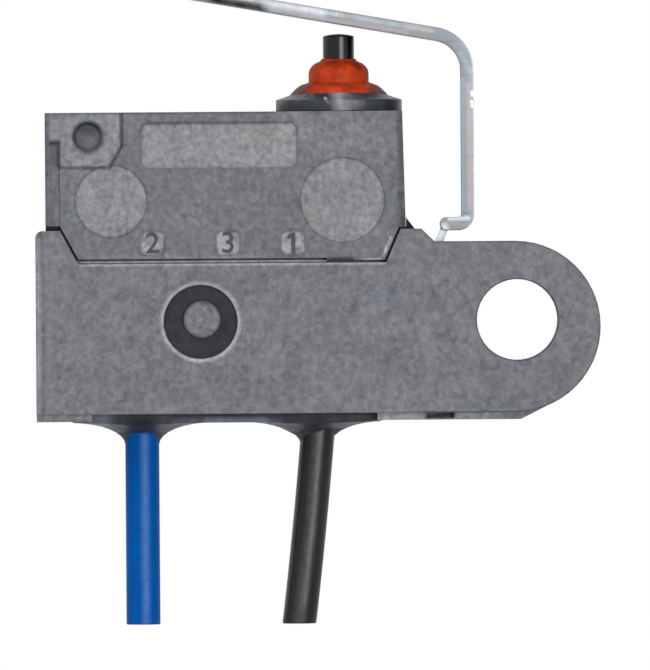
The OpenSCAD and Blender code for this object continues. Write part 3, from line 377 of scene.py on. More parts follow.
def makeCaseGrey():
    material, tree, shader, place = newMaterial("mouldedCaseGrey")
    grain = grainOf(tree, place, caseFinish)
    streak = spreadNoise(tree, place, streaks, clamp=False)  # fine upright streaks on the pads
    colour = linear(*greys["case"])
    for patch in casePatches:
        values = {k: v for k, v in patch.items() if k not in ("fill", "lineStrength")}
        found = useGroup(tree, facePatch, Vector=place, Soft=patchSoft, **{**noCut, **values})
        lifted = mixColour(tree, "MULTIPLY", streaks["blend"], linear(*greys[patch["fill"]]), streak)
        colour = mixColour(tree, "MIX", found["Fill"], colour, lifted)
        edge = mathNode(tree, "MULTIPLY", found["Line"], patch["lineStrength"])
        colour = mixColour(tree, "MIX", edge, colour, linear(*greys["line"]))
    spotty = spreadNoise(tree, place, tagLook)
    for x, z in tagPlaces:
        found = useGroup(tree, facePatch, Vector=place, CentreX=x, CentreZ=z, **tagShape, **noCut)
        for mask, strength, tone in (("Fill", spotty, "tag"), ("Line", tagLook["lineStrength"], "line")):
            share = mathNode(tree, "MULTIPLY", found[mask], strength)
            colour = mixColour(tree, "MIX", share, colour, linear(*greys[tone]))
    colour = paintStrokes(tree, place, colour, caseStrokes, greys, depths["front"])
    colour = paintStrokes(tree, place, colour, caseHollows, greys, depths["hollow"])
    dress(tree, shader, colour, grain, caseFinish)
    return material


def earEdge(tree, place):
    # one on the rounded front rims of the ear, which are painted darker as shade, and zero on its flat face
    calc = partial(mathNode, tree)
    x, y, _ = splitVector(tree, place)
    _, facing, _ = splitVector(tree, tree.nodes.new("ShaderNodeTexCoord").outputs["Normal"])
    turned = calc("SUBTRACT", 1.0, calc("ABSOLUTE", facing))
    rim = calc("MULTIPLY", turned, earRimShade["gain"], clamp=True)
    front = calc("LESS_THAN", y, earRimShade["front"])
    beside = calc("SUBTRACT", x, earRimShade["fromX"])
    beside = calc("DIVIDE", beside, earRimShade["fade"], clamp=True)
    return calc("MULTIPLY", calc("MULTIPLY", rim, front), beside)


def makeHolderGrey():
    material, tree, shader, place = newMaterial("mouldedHolderGrey")
    grain = grainOf(tree, place, holderFinish)
    rim = useGroup(tree, facePatch, Vector=place, Soft=patchSoft, **windowRim, **noCut)["Line"]
    colour = mixColour(tree, "MIX", rim, linear(*greys["holder"]), linear(*greys["rim"]))
    colour = paintStrokes(tree, place, colour, holderStrokes, greys, depths["front"])
    colour = paintStrokes(tree, place, colour, holderHollows, greys, depths["hollow"])
    earEdgeShade = mathNode(tree, "MULTIPLY", earEdge(tree, place), earRimShade["strength"])
    colour = mixColour(tree, "MIX", earEdgeShade, colour, linear(*earRimShade["tone"]))
    dress(tree, shader, colour, grain, holderFinish)
    return material


# plain finishes, one row each
finishKeys = ("colour", "contrast", "fine", "rough", "specular", "metal")
finishBump = {"bump": 0.15, "depth": 0.01}
finishes = {
    "plungerBlack": ((6, 6, 8), 0.5, 4.0, 0.25, 0.33, 0.0),
    "ringBlack": ((48, 49, 52), 1.5, 3.0, 0.55, 0.2, 0.0),
    "sealantBlack": ((14, 13, 16), 0.8, 3.0, 0.5, 0.15, 0.0),
    "baseBlack": ((55, 56, 60), 0.6, 4.0, 0.6, 0.2, 0.0),
    "digitDark": ((82, 83, 87), 1.2, 5.0, 0.65, 0.2, 0.0),
    "terminalBrass": ((205, 172, 108), 0.5, 3.0, 0.32, 0.5, 1.0),
    "contactSilver": ((222, 221, 216), 0.4, 5.0, 0.25, 0.5, 1.0),
    "springSteel": ((186, 186, 188), 0.4, 5.0, 0.3, 0.5, 1.0),
    "strandCopper": ((214, 138, 96), 0.6, 8.0, 0.3, 0.5, 1.0),
    "solderTin": ((190, 192, 195), 0.6, 4.0, 0.28, 0.5, 1.0)}


def makeFinish(name):
    values = {**dict(zip(finishKeys, finishes[name])), **finishBump}
    material, tree, shader, place = newMaterial(name)
    dress(tree, shader, linear(*values["colour"]), grainOf(tree, place, values), values)
    setShader(shader, Metallic=values["metal"])
    return material


# lit and shaded finishes: the boot's collar has painted highlights in front and painted shade at its edges, the
# sealing compound has painted shade under the holder and round the tops of the leads and painted light along its
# lower edge
litAndShadedBump = {"bump": 0.25, "depth": 0.02}
litAndShadedFinishes = {
    "collarDark": {"base": (54, 58, 64), "deep": (38, 41, 48), "sheenBright": (156, 154, 159), "glintSpot": (205, 208, 212),
        "front": 0.5, "contrast": 0.8, "fine": 3.0, "rough": 0.36, "specular": 0.3, "strokes": [
            # deep strokes are painted shade at the collar's edges; the bright strokes after them are painted
            # highlights on its front
            ("deep", 0.6, -8.3, 8.02, -4.4, 8.02, 0.16, 0.3), ("deep", 0.5, -8.2, 7.62, -7.0, 7.62, 0.14, 0.5),
            ("deep", 0.6, -5.2, 7.66, -4.5, 7.66, 0.2, 0.4),
            ("sheenBright", 1.0, -6.34, 8.08, -6.24, 7.6, 0.42, 0.0), ("sheenBright", 0.4, -5.9, 7.98, -5.6, 7.8, 0.3, 0.5),
            ("glintSpot", 1.0, -6.82, 7.97, -6.8, 7.95, 0.07, 0.0), ("sheenBright", 0.4, -6.76, 7.88, -6.7, 7.78, 0.09, 0.0),
            ("sheenBright", 0.35, -8.4, 7.86, -7.3, 8.1, 0.16, 0.7)]},
    "sealingBlack": {"base": (64, 65, 69), "deep": (26, 27, 32), "paintedLightBand": (112, 122, 130),
        "front": 3.0, "contrast": 1.1, "fine": 1.6, "rough": 0.45, "specular": 0.18, "strokes": [
            # the paler strokes are painted light along the compound's lower edge; deep strokes are painted shade
            # under the holder and round the tops of the leads
            ("paintedLightBand", 0.9, -15.4, -3.42, -14.9, -3.42, 0.6, 0.0),
            ("paintedLightBand", 1.0, -11.1, -3.56, -9.1, -3.57, 0.2, 0.2),
            ("paintedLightBand", 0.5, -12.3, -3.54, -8.5, -3.56, 0.14, 0.4),
            ("deep", 0.85, -14.2, -3.26, -5.2, -3.26, 0.14, 0.2),
            ("deep", 0.95, -13.7, -3.62, -13.2, -3.62, 0.5, 0.0),
            ("deep", 0.6, -7.2, -3.7, -7.1, -3.5, 0.5, 0.3)]}}


def makeLitAndShaded(name):
    values = {**litAndShadedFinishes[name], **litAndShadedBump}
    material, tree, shader, place = newMaterial(name)
    colour = paintStrokes(tree, place, linear(*values["base"]), values["strokes"], values, values["front"])
    dress(tree, shader, colour, grainOf(tree, place, values), values)
    return material


# rolled steel of the lever: fine lines along the strip, faint tints, a painted dark reflection under the arm,
# painted highlights along the arm, leg, foot and tang, painted shade along the foot and two scored lines on the
# leg
steel = {"colour": (126, 129, 132), "darkReflection": (20, 18, 18), "line": (120, 118, 116), "cool": (134, 153, 165),
    "rosy": (166, 150, 150), "paintedGlint": (222, 225, 228), "front": -1.5, "tang": -1.1}
rolled = {"scale": 5.0, "detail": 3.0, "stretch": (0.12, 1.0, 3.0), "shadeGain": 0.5, "shadeBase": 0.75,
    "roughGain": 0.2, "roughBase": 0.26, "bump": 0.08, "depth": 0.01}
steelTint = {"scale": 1.1, "detail": 2.0, "gain": 3.0, "base": -1.0, "cool": (0.93, 1.0, 1.06, 1),
    "warm": (1.05, 0.985, 0.985, 1)}
leverStrokes = [
    ("darkReflection", 1.0, -10.75, 11.5, -9.0, 11.18, 0.3, 0.1),
    ("darkReflection", 0.45, -12.2, 11.72, -10.6, 11.46, 0.12, 0.8),
    ("paintedGlint", 0.45, -10.0, 11.6, -6.4, 10.97, 0.12, 0.4),
    ("paintedGlint", 0.22, -6.3, 10.95, -3.0, 10.36, 0.14, 0.5),
    ("paintedGlint", 0.4, -8.9, 11.33, -6.9, 11.0, 0.26, 0.3),
    ("rosy", 0.6, -7.6, 10.94, -3.9, 10.3, 0.12, 0.4),
    ("cool", 0.8, -1.93, 8.6, -1.95, 4.0, 0.14, 0.2),
    ("rosy", 0.55, -1.7, 8.4, -1.68, 4.0, 0.16, 0.2),
    ("cool", 0.8, -2.0, 9.55, -1.62, 8.9, 0.16, 0.3),
    ("paintedGlint", 0.9, -1.57, 8.16, -1.56, 8.04, 0.07, 0.0),
    ("paintedGlint", 0.8, -1.59, 7.83, -1.57, 7.63, 0.07, 0.0),
    ("paintedGlint", 0.5, -2.4, 3.62, -1.75, 3.64, 0.12, 0.2),
    ("line", 0.45, -2.5, 3.38, -1.9, 3.36, 0.1, 0.2),
    ("line", 0.5, -2.1, 5.86, -1.4, 5.86, 0.05, 0.2),
    ("line", 0.35, -2.1, 5.74, -1.4, 5.74, 0.035, 0.4)]
# painted highlight on the narrow end in the holder's slot
tangStrokes = [("paintedGlint", 0.7, -2.6, 3.3, -2.95, 2.6, 0.24, 0.1)]  # the narrow end in the holder's slot


def makeLeverSteel():
    material, tree, shader, place = newMaterial("leverSteel")
    lines = noiseNode(tree, place, rolled["scale"], rolled["detail"], rolled["stretch"])
    tint = mixColour(tree, "MIX", spreadNoise(tree, place, steelTint), steelTint["cool"], steelTint["warm"])
    colour = mixColour(tree, "MULTIPLY", 1.0, linear(*steel["colour"]), tint)
    shade = mathNode(tree, "MULTIPLY_ADD", lines, rolled["shadeGain"], rolled["shadeBase"])
    colour = mixColour(tree, "MULTIPLY", 1.0, colour, shade)
    colour = paintStrokes(tree, place, colour, leverStrokes, steel, steel["front"])
    put(tree, shader.inputs["Base Color"], paintStrokes(tree, place, colour, tangStrokes, steel, steel["tang"]))
    rough = mathNode(tree, "MULTIPLY_ADD", lines, rolled["roughGain"], rolled["roughBase"])
    put(tree, shader.inputs["Roughness"], rough)
    setShader(shader, Metallic=1.0)
    addBump(tree, shader, lines, rolled["bump"], rolled["depth"])
    return material


# silicone of the boot: patches of three tones, with greyer flanks painted on its left and right sides below the
# neck
rubber = {"warm": (214, 70, 26), "deep": (150, 50, 24), "ochre": (172, 86, 20), "flank": (92, 74, 74),
    "neck": 8.55, "neckFade": 0.12, "axis": -6.34, "reach": 1.12, "agedStrength": 0.6, "flankGain": 2.2,
    "flankBase": 0.3, "flankStrength": 0.92,
    "contrast": 1.1, "fine": 2.6, "rough": 0.5, "specular": 0.12, "bump": 0.2, "depth": 0.02}
rubberNoise = {"patches": {"scale": 1.5, "detail": 2.0, "gain": 3.0, "base": -1.0},
    "aged": {"scale": 2.1, "detail": 1.0, "gain": 5.0, "base": -2.9},
    "ragged": {"scale": 3.0, "detail": 2.0, "gain": 1.0, "base": -0.5}}


def makeBootSilicone():
    material, tree, shader, place = newMaterial("bootSilicone")
    calc = partial(mathNode, tree)
    x, _, z = splitVector(tree, place)
    patches = spreadNoise(tree, place, rubberNoise["patches"])
    colour = mixColour(tree, "MIX", patches, linear(*rubber["deep"]), linear(*rubber["warm"]))
    aged = calc("MULTIPLY", spreadNoise(tree, place, rubberNoise["aged"]), rubber["agedStrength"])
    colour = mixColour(tree, "MIX", aged, colour, linear(*rubber["ochre"]))
    below = calc("DIVIDE", calc("SUBTRACT", rubber["neck"], z), rubber["neckFade"], clamp=True)
    beside = calc("ABSOLUTE", calc("SUBTRACT", x, rubber["axis"]))
    outward = calc("SUBTRACT", beside, rubber["reach"])
    outward = calc("ADD", outward, spreadNoise(tree, place, rubberNoise["ragged"], clamp=False))
    outward = calc("MULTIPLY_ADD", outward, rubber["flankGain"], rubber["flankBase"], clamp=True)
    flank = calc("MULTIPLY", calc("MULTIPLY", below, outward), rubber["flankStrength"])
    colour = mixColour(tree, "MIX", flank, colour, linear(*rubber["flank"]))
    dress(tree, shader, colour, grainOf(tree, place, rubber), rubber)
    return material


# extruded insulation of the leads: faint streaks along the run, and a painted highlight down the front
sleeves = {
    "insulationBlue": {"colour": (2, 91, 176), "paintedSheen": (98, 140, 202), "rough": 0.33, "specular": 0.04,
        "dents": 0.3, "front": 0.0, "strokes": [("paintedSheen", 0.7, -13.38, -4.1, -13.36, -10.7, 0.22, 0.2)]},
    "insulationBlack": {"colour": (6, 6, 8), "paintedSheen": (98, 93, 100), "rough": 0.33, "specular": 0.32,
        "dents": 0.5, "front": 0.0, "strokes": [("paintedSheen", 0.75, -7.16, -3.9, -7.42, -7.1, 0.28, 0.25),
            ("paintedSheen", 0.75, -7.44, -7.4, -7.88, -10.7, 0.3, 0.25)]}}
sleeveNoise = {"streak": {"scale": 4.0, "detail": 3.0, "stretch": (1.0, 1.0, 0.15), "gain": 0.3, "base": 0.7},
    "speck": {"scale": 7.0, "detail": 2.0, "gain": 0.3, "base": 0.0},
    "dents": {"scale": 2.2, "detail": 2.0, "stretch": (1.0, 1.0, 0.4), "depth": 0.04}}


def makeSleeve(name):
    values = sleeves[name]
    material, tree, shader, place = newMaterial(name)
    streak, speck = (spreadNoise(tree, place, sleeveNoise[n], clamp=False) for n in ("streak", "speck"))
    shade = mathNode(tree, "ADD", streak, speck)
    colour = paintStrokes(tree, place, linear(*values["colour"]), values["strokes"], values, values["front"])
    put(tree, shader.inputs["Base Color"], mixColour(tree, "MULTIPLY", 1.0, colour, shade))
    setShader(shader, Roughness=values["rough"], Specular_IOR_Level=values["specular"])
    dents = sleeveNoise["dents"]
    height = noiseNode(tree, place, dents["scale"], dents["detail"], dents["stretch"])
    addBump(tree, shader, height, values["dents"], dents["depth"])
    return material


looks = {name: makeFinish(name) for name in finishes}
looks.update({name: makeSleeve(name) for name in sleeves})
looks.update({name: makeLitAndShaded(name) for name in litAndShadedFinishes})
looks.update({"caseGrey": makeCaseGrey(), "holderGrey": makeHolderGrey(), "leverSteel": makeLeverSteel(),
    "bootSilicone": makeBootSilicone()})
print("materials:", len(looks))


# pieces: angles in degrees, gaps in millimetres
smoothLimit = 24
clean = {"gap": 0.0002, "flatAngle": 0.5}
rimLimits = {"level": 0.002, "sharpest": 0.4}


def addPiece(mesh, name, look, body, replaced=(), smoothAngle=smoothLimit):
    mesh.name = name
    mesh.polygons.foreach_set("use_smooth", [True] * len(mesh.polygons))
    mesh.set_sharp_from_angle(angle=math.radians(smoothAngle))
    mesh.materials.clear()
    mesh.materials.append(looks[look])
    piece = bpy.data.objects.new(name, mesh)
    scene.collection.objects.link(piece)
    if body:
        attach(piece, body)
    if replaced:
        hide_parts(*replaced)
    return piece


def keepFlat(mesh):
    # shading normals weighted by area, so the large faces stay flat beside their rounded rims
    limit = math.cos(math.radians(smoothLimit))
    around = {}
    for face in mesh.polygons:
        for vertex in face.vertices:
            around.setdefault(vertex, []).append((face.normal.copy(), face.area))
    normals = []
    for face in mesh.polygons:
        for vertex in face.vertices:
            total = Vector()
            for normal, area in around[vertex]:
                if normal.dot(face.normal) > limit:
                    total += normal * area
            normals.append(total.normalized())
    mesh.normals_split_custom_set(normals)


def cleanCopy(nodeName):
    # a merged copy of a CAD node, with its flat faces made whole
    bm = bmesh.new()
    bm.from_mesh(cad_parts[nodeName].data)
    bmesh.ops.remove_doubles(bm, verts=bm.verts, dist=clean["gap"] * mm)
    bmesh.ops.dissolve_limit(bm, angle_limit=math.radians(clean["flatAngle"]), verts=bm.verts, edges=bm.edges)
    return bm


def bevelEdges(bm, wide, segments, minAngle=35):
    chosen = [e for e in bm.edges if len(e.link_faces) == 2 and e.calc_face_angle(0) > math.radians(minAngle)]
    bmesh.ops.bevel(bm, geom=chosen, offset=wide * mm, offset_type="OFFSET", segments=segments, profile=0.5,
        affect="EDGES", clamp_overlap=False)
    return len(chosen)


def toMesh(bm):
    mesh = bpy.data.meshes.new("piece")
    bm.to_mesh(mesh)
    bm.free()
    return mesh


def turnOutward(mesh, gap=None):
    # makes the faces point outwards, after merging vertices that are closer than the gap
    bm = bmesh.new()
    bm.from_mesh(mesh)
    if gap:
        bmesh.ops.remove_doubles(bm, verts=bm.verts, dist=gap * mm)
    bmesh.ops.recalc_face_normals(bm, faces=bm.faces)
    bm.to_mesh(mesh)
    bm.free()


def takeMesh(maker):
    # the finished mesh of a helper object, which is then removed
    graph = bpy.context.evaluated_depsgraph_get()
    mesh = bpy.data.meshes.new_from_object(maker.evaluated_get(graph))
    bpy.data.objects.remove(maker)
    return mesh


def roundRim(bm, level, steps, wide):
    # rounds the outline of the flat face at y = level towards the inside of the piece
    flat = {f for f in bm.faces if all(abs(v.co.y - level * mm) < rimLimits["level"] * mm for v in f.verts)}
    runs, inward = [], {}
    for edge in bm.edges:
        owners = [f for f in edge.link_faces if f in flat]
        if len(owners) != 1:
            continue
        loop = next(l for l in owners[0].loops if l.edge == edge)
        first, second = loop.vert, loop.link_loop_next.vert
        side = owners[0].normal.cross(second.co - first.co).normalized()
        runs.append((first, second))
        for vertex in (first, second):
            inward.setdefault(vertex, []).append(side)
    facing = -1 if level < 0 else 1
    bmesh.ops.delete(bm, geom=list(flat), context="FACES_KEEP_BOUNDARY")
    rings = {}
    for vertex, sides in inward.items():
        push = sides[0]
        if len(sides) > 1:
            push = (sides[0] + sides[-1]) / max(rimLimits["sharpest"], 1 + sides[0].dot(sides[-1]))
        start, reach = vertex.co.copy(), wide(vertex.co.x / mm, vertex.co.z / mm) * mm
        column = [vertex]
        for step in range(1, steps + 1):
            turn = math.pi / 2 * step / steps
            offset = push * reach * (1 - math.cos(turn))
            column.append(bm.verts.new(start + offset - Vector((0, facing * reach * (1 - math.sin(turn)), 0))))
        vertex.co = start - Vector((0, facing * reach, 0))
        rings[vertex] = column
    for first, second in runs:
        for step in range(steps):
            a, b = rings[first], rings[second]
            bm.faces.new((a[step], b[step], b[step + 1], a[step + 1]))
    rim = [bm.edges.get((rings[a][-1], rings[b][-1])) for a, b in runs]
    bmesh.ops.triangle_fill(bm, use_beauty=True, use_dissolve=False, edges=rim, normal=(0, facing, 0))
    return len(runs)


# softened copies of the moulded and stamped parts
softened = [
    {"node": "holder", "name": "holderBody", "look": "holderGrey", "body": "housing", "slot": "housing_grey",
        "half": 2.9, "wide": 0.07, "steps": 2, "flat": True},
    {"node": "switch_case", "name": "caseBody", "look": "caseGrey", "body": "housing", "slot": "case_grey",
        "half": 2.65, "wide": 0.03, "steps": 2, "flat": True},
    {"node": "lever", "name": "leverStrip", "look": "leverSteel", "body": "lever", "slot": "lever_steel",
        "half": 1.6, "wide": 0.03, "steps": 2, "flat": True},
    {"node": "boot_retainer", "name": "collarRing", "look": "collarDark", "body": "housing",
        "slot": "retainer_dark", "flat": True},
    {"node": "plunger", "name": "plungerPin", "look": "plungerBlack", "body": "plunger", "slot": "plunger_black",
        "wide": 0.04, "steps": 2, "flat": True},
    {"node": "seam_sealant", "name": "seamBeads", "look": "sealantBlack", "body": "housing",
        "slot": "sealing_black"},
    {"node": "potting", "name": "sealingCompound", "look": "sealingBlack", "body": "housing",
        "slot": "sealing_black"}]
latchWindow = {"x": -11.32, "z": 0.0, "reach": 1.6, "wide": 0.02}  # its rim is sharper than the rest


def rimWidth(part):
    def wide(x, z):
        inWindow = math.hypot(x - latchWindow["x"], z - latchWindow["z"]) < latchWindow["reach"]
        return latchWindow["wide"] if inWindow and part["node"] == "holder" else part["wide"]
    return wide


# compound drawn up in front of the leads, the bead's end under the case, and the lip on the boot's collar
meniscus = {"leads": ((-13.47, 0.0), (-7.2, 0.0)), "below": -3.5, "reach": 0.9, "nearest": 0.01, "lift": 0.46,
    "tipX": (-8.2, -7.3), "tipTop": -3.7, "tipHigh": 0.5, "tipShift": 0.1,  # the tip lies against the black lead
    "ends": (-15.965, -4.855), "endNear": 0.03, "endLift": 0.05}  # the ends run out level with the lip
beadEnd = {"from": -4.2, "to": -4.1, "shift": -0.06}
collarLip = {"axis": -6.34, "inside": 1.95, "above": 7.98, "lift": 0.1, "bevel": 0.04, "steps": 2}


def raiseMeniscus(bm):
    count = 0
    for vertex in bm.verts:
        x, y, z = vertex.co / mm
        for leadX, leadY in meniscus["leads"]:
            away = math.hypot(x - leadX, y - leadY)
            if z < meniscus["below"] and away < meniscus["reach"] and y < leadY:
                facing = (leadY - y) / max(away, meniscus["nearest"])
                vertex.co.z += meniscus["lift"] * mm * facing
                count += 1
        if z < meniscus["below"] and min(abs(x - end) for end in meniscus["ends"]) < meniscus["endNear"]:
            vertex.co.z += meniscus["endLift"] * mm
        tip = min(max((meniscus["tipTop"] - z) / meniscus["tipHigh"], 0), 1)
        if meniscus["tipX"][0] < x < meniscus["tipX"][1]:
            vertex.co.x += meniscus["tipShift"] * tip * mm
    return count


def fillUnderCase(bm):
    ends = [v for v in bm.verts if beadEnd["from"] < v.co.x / mm < beadEnd["to"]]
    bmesh.ops.translate(bm, verts=ends, vec=(beadEnd["shift"] * mm, 0, 0))
    return len(ends)


def raiseCollarLip(bm):
    count = bevelEdges(bm, collarLip["bevel"], collarLip["steps"])
    for vertex in bm.verts:
        x, y, z = vertex.co / mm
        away = math.hypot(x - collarLip["axis"], y)
        if z > collarLip["above"] and away < collarLip["inside"]:
            vertex.co.z += collarLip["lift"] * mm * abs(y) / away  # most in front
    return count


reshape = {"potting": raiseMeniscus, "seam_sealant": fillUnderCase, "boot_retainer": raiseCollarLip}
for part in softened:
    bm = cleanCopy(part["node"])
    if "half" in part:
        count = sum(roundRim(bm, side * part["half"], part["steps"], rimWidth(part)) for side in (-1, 1))
    elif "wide" in part:
        count = bevelEdges(bm, part["wide"], part["steps"])
    else:
        count = reshape[part["node"]](bm)
    piece = addPiece(toMesh(bm), part["name"], part["look"], part["body"], [part["node"]])
    if "flat" in part:
        keepFlat(piece.data)
    print("softened", part["name"], count, "places")


# boot: a lathe of its outer and inner profile round the plunger's axis, radius and height above the case
boot = {"axis": (-6.34, 0.0), "base": 7.5, "sides": 96, "smooth": 50,
    "outer": [(1.97, 0.01), (1.97, 0.19), (1.765, 0.2), (1.765, 0.57), (1.72, 0.64), (1.65, 0.71), (1.57, 0.79),
        (1.49, 0.86), (1.39, 0.93), (1.27, 0.985), (1.14, 1.02), (1.085, 1.045), (1.075, 1.09), (1.08, 1.2),
        (1.078, 1.32), (1.065, 1.43), (1.035, 1.525), (0.975, 1.615), (0.89, 1.695), (0.79, 1.75), (0.7, 1.785),
        (0.65, 1.82), (0.625, 1.87), (0.605, 1.885)],
    "inner": [(0.582, 1.885), (0.582, 1.36), (0.84, 1.24), (0.84, 0.92), (1.53, 0.34), (1.53, 0.01)]}


def makeBoot():
    profile = boot["outer"] + boot["inner"]
    sides = boot["sides"]
    vertices, faces = [], []
    for radius, height in profile:
        for i in range(sides):
            turn = 2 * math.pi * i / sides
            vertices.append(((boot["axis"][0] + radius * math.cos(turn)) * mm,
                (boot["axis"][1] + radius * math.sin(turn)) * mm, (boot["base"] + height) * mm))
    rows = len(profile)
    for row in range(rows):
        for i in range(sides):
            j, after = (i + 1) % sides, (row + 1) % rows
            faces.append((row * sides + i, row * sides + j, after * sides + j, after * sides + i))
    mesh = bpy.data.meshes.new("bootSkin")
    mesh.from_pydata(vertices, [], faces)
    turnOutward(mesh)
    piece = addPiece(mesh, "bootSkin", "bootSilicone", None, ["boot"], boot["smooth"])
    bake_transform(piece)


makeBoot()
print("boot made")


# snap spring: a plain copy of the CAD coil, which stays where it stands
coil = {"node": "snap_spring", "armEnd": (-9.2, 0.0, 4.2), "postEnd": (-12.6, 0.0, 4.8), "smooth": 50}


def makeCoil():
    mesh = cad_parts[coil["node"]].data.copy()
    piece = addPiece(mesh, "snapCoil", "springSteel", None, [coil["node"]], coil["smooth"])
    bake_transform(piece)


makeCoil()
print("snap spring made")


# leads: a sleeve of revolution that is then bent along the lead's gentle curve
leads = [
    {"name": "blueSleeve", "look": "insulationBlue", "slot": "insulation_blue", "node": "blue_lead_insulation",
        "topX": -13.47, "top": -2.9, "bottom": -10.8399, "lean": 0.0, "curve": 0.0},
    {"name": "blackSleeve", "look": "insulationBlack", "slot": "insulation_black", "node": "black_lead_insulation",
        "topX": -7.0875, "top": -2.9, "bottom": -10.8399, "lean": 0.07866, "curve": 0.00272}]
sleeveSize = {"radius": 0.61, "bore": 0.38, "round": 0.05, "sides": 48, "roundSteps": 3, "cuts": 9, "gap": 0.0005,
    "smooth": 40}


def makeSleeveTree():
    tree = bpy.data.node_groups.new("leadSleeve", "GeometryNodeTree")
    for label in ("Radius", "Bore", "Round", "TopX", "Top", "Bottom", "Lean", "Curve"):
        tree.interface.new_socket(label, in_out="INPUT", socket_type="NodeSocketFloat")
    tree.interface.new_socket("Sides", in_out="INPUT", socket_type="NodeSocketInt")
    tree.interface.new_socket("Look", in_out="INPUT", socket_type="NodeSocketMaterial")
    tree.interface.new_socket("Geometry", in_out="OUTPUT", socket_type="NodeSocketGeometry")
    given = tree.nodes.new("NodeGroupInput").outputs
    out = tree.nodes.new("NodeGroupOutput").inputs
    calc = partial(mathNode, tree)
    wall = calc("SUBTRACT", given["Radius"], given["Bore"])
    length = calc("SUBTRACT", given["Top"], given["Bottom"])
    section = tree.nodes.new("GeometryNodeCurvePrimitiveQuadrilateral")
    put(tree, section.inputs["Width"], wall)
    put(tree, section.inputs["Height"], length)
    fillet = tree.nodes.new("GeometryNodeFilletCurve")
    fillet.mode = "POLY"
    put(tree, fillet.inputs["Curve"], section.outputs[0])
    put(tree, fillet.inputs["Radius"], given["Round"])
    fillet.inputs["Count"].default_value = sleeveSize["roundSteps"]
    cuts = tree.nodes.new("GeometryNodeSubdivideCurve")
    put(tree, cuts.inputs["Curve"], fillet.outputs[0])
    cuts.inputs["Cuts"].default_value = sleeveSize["cuts"]
    ring = tree.nodes.new("GeometryNodeCurvePrimitiveCircle")
    put(tree, ring.inputs["Resolution"], given["Sides"])
    put(tree, ring.inputs["Radius"], calc("MULTIPLY", calc("ADD", given["Radius"], given["Bore"]), 0.5))
    sweep = tree.nodes.new("GeometryNodeCurveToMesh")
    put(tree, sweep.inputs["Curve"], ring.outputs[0])
    put(tree, sweep.inputs["Profile Curve"], cuts.outputs[0])
    place = tree.nodes.new("GeometryNodeInputPosition")
    x, y, z = splitVector(tree, place.outputs[0])
    middle = calc("MULTIPLY", calc("ADD", given["Top"], given["Bottom"]), 0.5)
    height = calc("ADD", z, middle)
    down = calc("SUBTRACT", given["Top"], height)
    shift = calc("ADD", calc("MULTIPLY", down, given["Lean"]),
        calc("MULTIPLY", calc("MULTIPLY", down, down), given["Curve"]))
    joined = tree.nodes.new("ShaderNodeCombineXYZ")
    put(tree, joined.inputs[0], calc("ADD", x, calc("SUBTRACT", given["TopX"], shift)))
    put(tree, joined.inputs[1], y)
    put(tree, joined.inputs[2], height)
    scaled = tree.nodes.new("ShaderNodeVectorMath")
    scaled.operation = "SCALE"
    put(tree, scaled.inputs[0], joined.outputs[0])
    scaled.inputs["Scale"].default_value = mm
    moved = tree.nodes.new("GeometryNodeSetPosition")
    put(tree, moved.inputs["Geometry"], sweep.outputs[0])
    put(tree, moved.inputs["Position"], scaled.outputs[0])
    realize = tree.nodes.new("GeometryNodeRealizeInstances")
    put(tree, realize.inputs[0], moved.outputs[0])
    painted = tree.nodes.new("GeometryNodeSetMaterial")
    put(tree, painted.inputs["Geometry"], realize.outputs[0])
    put(tree, painted.inputs["Material"], given["Look"])
    put(tree, out["Geometry"], painted.outputs[0])
    return tree


sleeveTree = makeSleeveTree()


def treeInput(tree, label):
    return next(s.identifier for s in tree.interface.items_tree if s.in_out == "INPUT" and s.name == label)


def makeLead(lead):
    maker = bpy.data.objects.new("sleeveMaker", bpy.data.meshes.new("sleeveMaker"))
    scene.collection.objects.link(maker)
    modifier = maker.modifiers.new("leadSleeve", "NODES")
    modifier.node_group = sleeveTree
    values = {"Radius": sleeveSize["radius"], "Bore": sleeveSize["bore"], "Round": sleeveSize["round"],
        "Sides": sleeveSize["sides"], "TopX": lead["topX"], "Top": lead["top"], "Bottom": lead["bottom"],
        "Lean": lead["lean"], "Curve": lead["curve"], "Look": looks[lead["look"]]}
    for label, value in values.items():
        modifier[treeInput(sleeveTree, label)] = value
    mesh = takeMesh(maker)
    turnOutward(mesh, sleeveSize["gap"])
    addPiece(mesh, lead["name"], lead["look"], "housing", [lead["node"]], sleeveSize["smooth"])
    print("lead", lead["name"], len(mesh.polygons), "faces")


for lead in leads:
    makeLead(lead)


# terminal digits on the case's front; the one is drawn, the others are set in type
digits = {"size": 1.05, "bold": 0.012, "proud": 0.012, "face": -2.65, "curveSteps": 6,
    "places": {"2": (-13.02, 2.79), "3": (-10.32, 2.79), "1": (-8.02, 2.79)},
    "one": [(-0.04, -0.37), (0.1, -0.37), (0.1, 0.38), (-0.02, 0.38), (-0.2, 0.25), (-0.16, 0.14), (-0.04, 0.21)]}


def typedDigit(text):
    curve = bpy.data.curves.new("digit" + text, "FONT")
    curve.body = text
    curve.size = digits["size"] * mm
    curve.offset = digits["bold"] * mm
    curve.align_x = "CENTER"
    curve.align_y = "CENTER"
    curve.extrude = digits["proud"] * mm
    curve.resolution_u = digits["curveSteps"]
    maker = bpy.data.objects.new("digitMaker", curve)
    scene.collection.objects.link(maker)
    return takeMesh(maker)


def drawnDigit(points):
    bm = bmesh.new()
    face = bm.faces.new([bm.verts.new((x * mm, z * mm, -digits["proud"] * mm)) for x, z in points])
    grown = bmesh.ops.extrude_face_region(bm, geom=[face])["geom"]
    bmesh.ops.translate(bm, verts=[v for v in grown if isinstance(v, bmesh.types.BMVert)],
        vec=(0, 0, 2 * digits["proud"] * mm))
    bmesh.ops.recalc_face_normals(bm, faces=bm.faces)
    return toMesh(bm)


